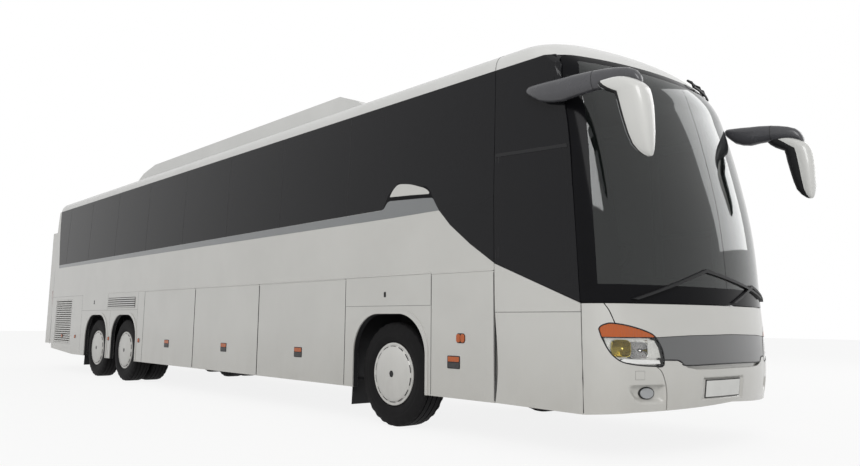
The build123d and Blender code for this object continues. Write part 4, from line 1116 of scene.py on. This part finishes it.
def roof_fittings():
    """Seam behind the front cap of the roof, and the black bracket over the windscreen."""
    form = Form()
    for side in (1, -1):
        line = [(side * (x + 0.0006), z + 0.0006) for x, z in roof_section()]
        form.loft([[(x, at(y), z) for x, z in line] + [(x * 0.997, at(y), z - 0.004) for x, z in line[::-1]]
                   for y in (CAB_SEAM - 0.003, CAB_SEAM + 0.003)], soft_black)
    form.make("roof_seam")
    bracket = Form()
    places = [0.34 + 0.058 * i for i in range(12)]
    lower, upper = ([skin(s, roof_edge(s) + rise, off)[0] for s in places]
                    for rise, off in ((-0.012, 0.02), (0.052, 0.03)))
    for bar in (lower, upper):
        bracket.tube(bar, 0.011, soft_black)
    for number in (0, 4, 7, 11):
        low, high = lower[number], upper[number]
        bracket.tube([low, (low + high) / 2 + Vector((0, -0.014, 0.01)), high], 0.01, soft_black)
    bracket.make("roof_bracket", angle=50)


def rear_box_doors():
    """The two box doors as framed leaves with sunken panels, a lock bar with its handle, and hinges."""
    for label, side in (("left", 1), ("right", -1)):
        node = "rear_box_door_" + label
        low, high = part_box(node)
        x_in, x_out = (low.x, high.x) if side > 0 else (high.x, low.x)
        wide, tall = high.x - low.x, high.z - low.z
        outer = high.y - 0.014
        levels = ((0.0, low.y, 0.006), (0.0, outer - 0.006, 0.006), (0.006, outer, 0.008),
                  (0.085, outer, 0.04), (0.093, outer - 0.01, 0.036), (0.14, outer - 0.01, 0.02))
        leaf, bars = Form(), Form()
        leaf.loft([[(x_in + side * x, y, z) for x, z in
                    rounded(inset, wide - inset, low.z + inset, high.z - inset, corner, 6)]
                   for inset, y, corner in levels], white_paint)
        leaf.make(node + "_leaf", node, replaces=[node])
        x = x_in + side * 0.115
        bars.tube([(x, outer, z) for z in (low.z + 0.03, high.z - 0.03)], 0.011, bare_aluminium)
        for z in (low.z + tall * share for share in (0.04, 0.34, 0.66, 0.96)):
            centre, half = Vector((x, outer, z)), Vector((0.022, 0.012, 0.018))
            bars.box(centre - half, centre + half, bare_aluminium)
        z = low.z + tall * 0.42
        bars.tube([(x + side * along, outer + out, z + rise) for along, out, rise in
                   ((0.0, 0.002, 0.0), (0.03, 0.003, 0.004), (0.16, 0.003, 0.006))], 0.009, soft_black)
        edge = x_out - side * 0.01
        for z in (low.z + tall * share for share in (0.1, 0.5, 0.9)):
            bars.tube([(edge, outer + 0.001, z + end) for end in (-0.045, 0.045)], 0.009, bare_aluminium)
            centre, half = Vector((edge - side * 0.0375, outer, z)), Vector((0.0375, 0.004, 0.03))
            bars.box(centre - half, centre + half, bare_aluminium)
        bars.make(node + "_fittings", node, angle=40, bevel=0.001)


# outline of the dark cap at the top of a front pillar, (y, z)
PILLAR_CAP = [(-2.175, 2.87), (-2.135, 3.05), (-2.11, 3.15), (-2.068, 3.246), (-1.985, 3.246), (-2.02, 3.2),
              (-2.055, 3.13), (-2.09, 3.0), (-2.115, 2.87)]


def cab_lines():
    """Frame of the driver's opening window and the joint round it, and dark caps at the pillar tops."""
    form, cap = Form(), Form()
    bar = [(-1.438, 2.448), (-1.438, 2.478), (-2.215, 2.441), (-2.222, 2.411)]
    form.plate(-1, bar, (-0.004, 0.004), soft_black)
    for y, z0, z1 in ((-1.437, 1.54, 2.455), (-1.47, 1.56, 2.45)):
        form.plate(-1, rectangle(y - 0.003, y + 0.003, z0, z1), (-0.004, 0.0012), soft_black)
    form.make("driver_window_frame", bevel=0.001)
    corner = on_side(PILLAR_CAP)
    for outline in (corner, mirrored(corner)):
        panel(cap, outline, black_band, off=0.008, flange=0.02, step=0.03)
    cap.make("pillar_caps")


# ---- seats


SEAT_ROWS, SEAT_PITCH, SEAT_FRONT = 14, 0.79, -0.7
DECK = 1.5                          # height of the floor under the seats
# inset from the sides, then front, low, rear and high limits, material and tilt
SEAT_PARTS = [(0.015, 0.02, 0.33, 0.47, 0.44, seat_cloth, 0.0),
              (0.015, 0.445, 0.42, 0.555, 0.98, seat_cloth, 0.16),
              (0.08, 0.45, 0.93, 0.545, 1.145, seat_trim, 0.16)]


def cushion(form, low, high, material, tilt=0.0, hinge=0.0):
    """A soft block that swells in the middle and leans back with its height over the hinge."""
    (x0, y0, z0), (x1, y1, z1) = low, high
    swell = ((0.0, 0.8), (0.06, 0.93), (0.18, 0.99), (0.5, 1.0), (0.82, 0.99), (0.94, 0.93), (1.0, 0.8))
    rings = []
    for share, size in swell:
        z = z0 + (z1 - z0) * share
        middle = (y0 + y1) / 2 + (z - hinge) * tilt
        rings.append([((x0 + x1 + a * (x1 - x0) * size) / 2, at(middle + b * (y1 - y0) / 2 * size), z)
                      for a, b in squircle(16, 4.0)])
    form.loft(rings, material)


def seat(cloth, hard, x0, x1, y, floor):
    """Cushion, reclined back and headrest, with the base and an armrest."""
    for inset, front, low, rear, high, material, tilt in SEAT_PARTS:
        cushion(cloth, (x0 + inset, y + front, floor + low), (x1 - inset, y + rear, floor + high), material,
                tilt, floor + 0.42)
    hard.box((x0 + 0.03, at(y + 0.06), floor + 0.27), (x1 - 0.03, at(y + 0.44), floor + 0.335), black_plastic)
    arm = x0 - 0.012, x0 + 0.03
    hard.box((arm[0], at(y + 0.12), floor + 0.585), (arm[1], at(y + 0.47), floor + 0.62), black_plastic)


def seats():
    """Fourteen rows of double seats with room for the middle door, and the driver's seat."""
    cloth, hard = Form(), Form()
    for y in (SEAT_FRONT + SEAT_PITCH * row for row in range(SEAT_ROWS)):
        for side in (1, -1):
            if side > 0 and 4.19 < y < 5.74:
                continue
            for low in (0.262, 0.712):
                x0, x1 = sorted((side * low, side * (low + 0.445)))
                seat(cloth, hard, x0, x1, y, DECK)
            for x in (0.38, 1.05):
                for foot, top in ((0.1, 0.12), (0.4, 0.38)):
                    leg = [(side * x, at(y + foot), DECK + 0.002), (side * x, at(y + top), DECK + 0.28)]
                    hard.tube(leg, 0.016, bare_aluminium)
    cloth.make("passenger_cushions", angle=50, replaces=["passenger_seats"])
    hard.make("seat_frames", bevel=0.004)
    cloth, hard = Form(), Form()
    cushion(cloth, (-0.975, -1.93, 1.38), (-0.485, -1.47, 1.485), seat_cloth)
    cushion(cloth, (-0.97, -1.53, 1.46), (-0.49, -1.43, 1.985), seat_cloth, 0.12, 1.46)
    cushion(cloth, (-0.87, -1.525, 1.96), (-0.59, -1.44, 2.165), seat_trim, 0.12, 1.46)
    hard.box((-0.93, at(-1.88), 1.16), (-0.53, at(-1.52), 1.385), black_plastic)
    hard.box((-0.86, at(-1.82), 1.002), (-0.6, at(-1.58), 1.16), chassis_black)
    cloth.make("driver_cushions", angle=50, replaces=["driver_seat"])
    hard.make("driver_seat_base", bevel=0.01)


for build in (front_panels, headlamps, front_fittings, windscreen, stripes, rails, seals, markers, louvres,
              mudflaps, arch_seals, wheels, mirrors, roof, roof_fittings, cab_lines, rear_box_doors, seats):
    build()

# ---- floor, light, camera

GROUND = 60.0


def seen(tree):
    """1 for rays from the camera, off gloss and through glass, and 0 for light and shadow."""
    path = add_node(tree, "LightPath", {})
    total = path.outputs["Is Camera Ray"]
    for kind in ("Is Glossy Ray", "Is Transmission Ray"):
        either = add_node(tree, "Math", {0: total, 1: path.outputs[kind]}, operation="MAXIMUM")
        total = either.outputs["Value"]
    return total


def stage_material(name, colour, glow_share):
    """A pale floor that keeps the shadow; what is seen of it is lifted to white by a share of glow."""
    material, tree, shader = new_material(name)
    feed(tree, shader, {"Base Color": (*colour, 1.0), "Roughness": 0.8})
    glow = add_node(tree, "Emission", {"Color": WHITE}).outputs["Emission"]
    share = add_node(tree, "Math", {0: seen(tree), 1: glow_share}, operation="MULTIPLY").outputs["Value"]
    mix = add_node(tree, "MixShader", {"Fac": share, 1: shader.outputs["BSDF"], 2: glow})
    feed(tree, tree.nodes["Material Output"], {"Surface": mix.outputs["Shader"]})
    return material


floor_mesh = bpy.data.meshes.new("floor")
corners = [(x, y, 0) for x, y in rectangle(-GROUND, GROUND, -GROUND, GROUND)]
floor_mesh.from_pydata(corners, [], [(0, 1, 2, 3)])
floor = bpy.data.objects.new("floor", floor_mesh)
floor.data.materials.append(stage_material("floor_white", (0.8, 0.8, 0.79), 0.86))
bpy.context.scene.collection.objects.link(floor)

world = bpy.data.worlds.new("studio")
world.use_nodes = True
bpy.context.scene.world = world
sky = world.node_tree
light = feed(sky, sky.nodes["Background"], {"Color": WHITE, "Strength": 0.55}).outputs["Background"]
shown = add_node(sky, "Background", {"Color": WHITE, "Strength": 1.0}).outputs["Background"]
either = add_node(sky, "MixShader", {"Fac": seen(sky), 1: light, 2: shown}).outputs["Shader"]
feed(sky, sky.nodes["World Output"], {"Surface": either})


def area_light(name, place, target, size, energy):
    """A rectangle of light that points at its target."""
    data = bpy.data.lights.new(name, "AREA")
    data.shape = "RECTANGLE"
    data.size, data.size_y = size
    data.energy = energy
    lamp = bpy.data.objects.new(name, data)
    lamp.location = place
    lamp.rotation_euler = (Vector(target) - Vector(place)).to_track_quat("-Z", "Y").to_euler()
    bpy.context.scene.collection.objects.link(lamp)


area_light("key", (-14, -16, 12), (0, 0, 1.5), (10, 10), 1800)
area_light("fill", (14, -10, 8), (0, 0, 1.5), (9, 9), 500)

# the camera stands low, ahead and to the right of the coach
EYE = Vector((-6.1157, at(-6.0083), 1.0059))
YAW, PITCH, ROLL = 0.7113, 0.1496, 0.0099
FOCAL_PIXELS, CENTRE_U, CENTRE_V = 770.67, 416.58, 206.43
PHOTO_W, PHOTO_H = 860, 466
SENSOR = 36.0

camera_data = bpy.data.cameras.new("camera")
camera_data.sensor_width = SENSOR
camera_data.lens = FOCAL_PIXELS / PHOTO_W * SENSOR
camera_data.shift_x = (PHOTO_W / 2 - CENTRE_U) / PHOTO_W
camera_data.shift_y = (CENTRE_V - PHOTO_H / 2) / PHOTO_W
camera_data.clip_end = 200
camera = bpy.data.objects.new("camera", camera_data)
camera.matrix_world = Matrix.Translation(EYE)
for angle, axis in ((-YAW, "Z"), (math.pi / 2 + PITCH, "X"), (ROLL, "Z")):
    camera.matrix_world @= Matrix.Rotation(angle, 4, axis)
bpy.context.scene.collection.objects.link(camera)
bpy.context.scene.camera = camera
bpy.context.scene.view_settings.view_transform = "Standard"
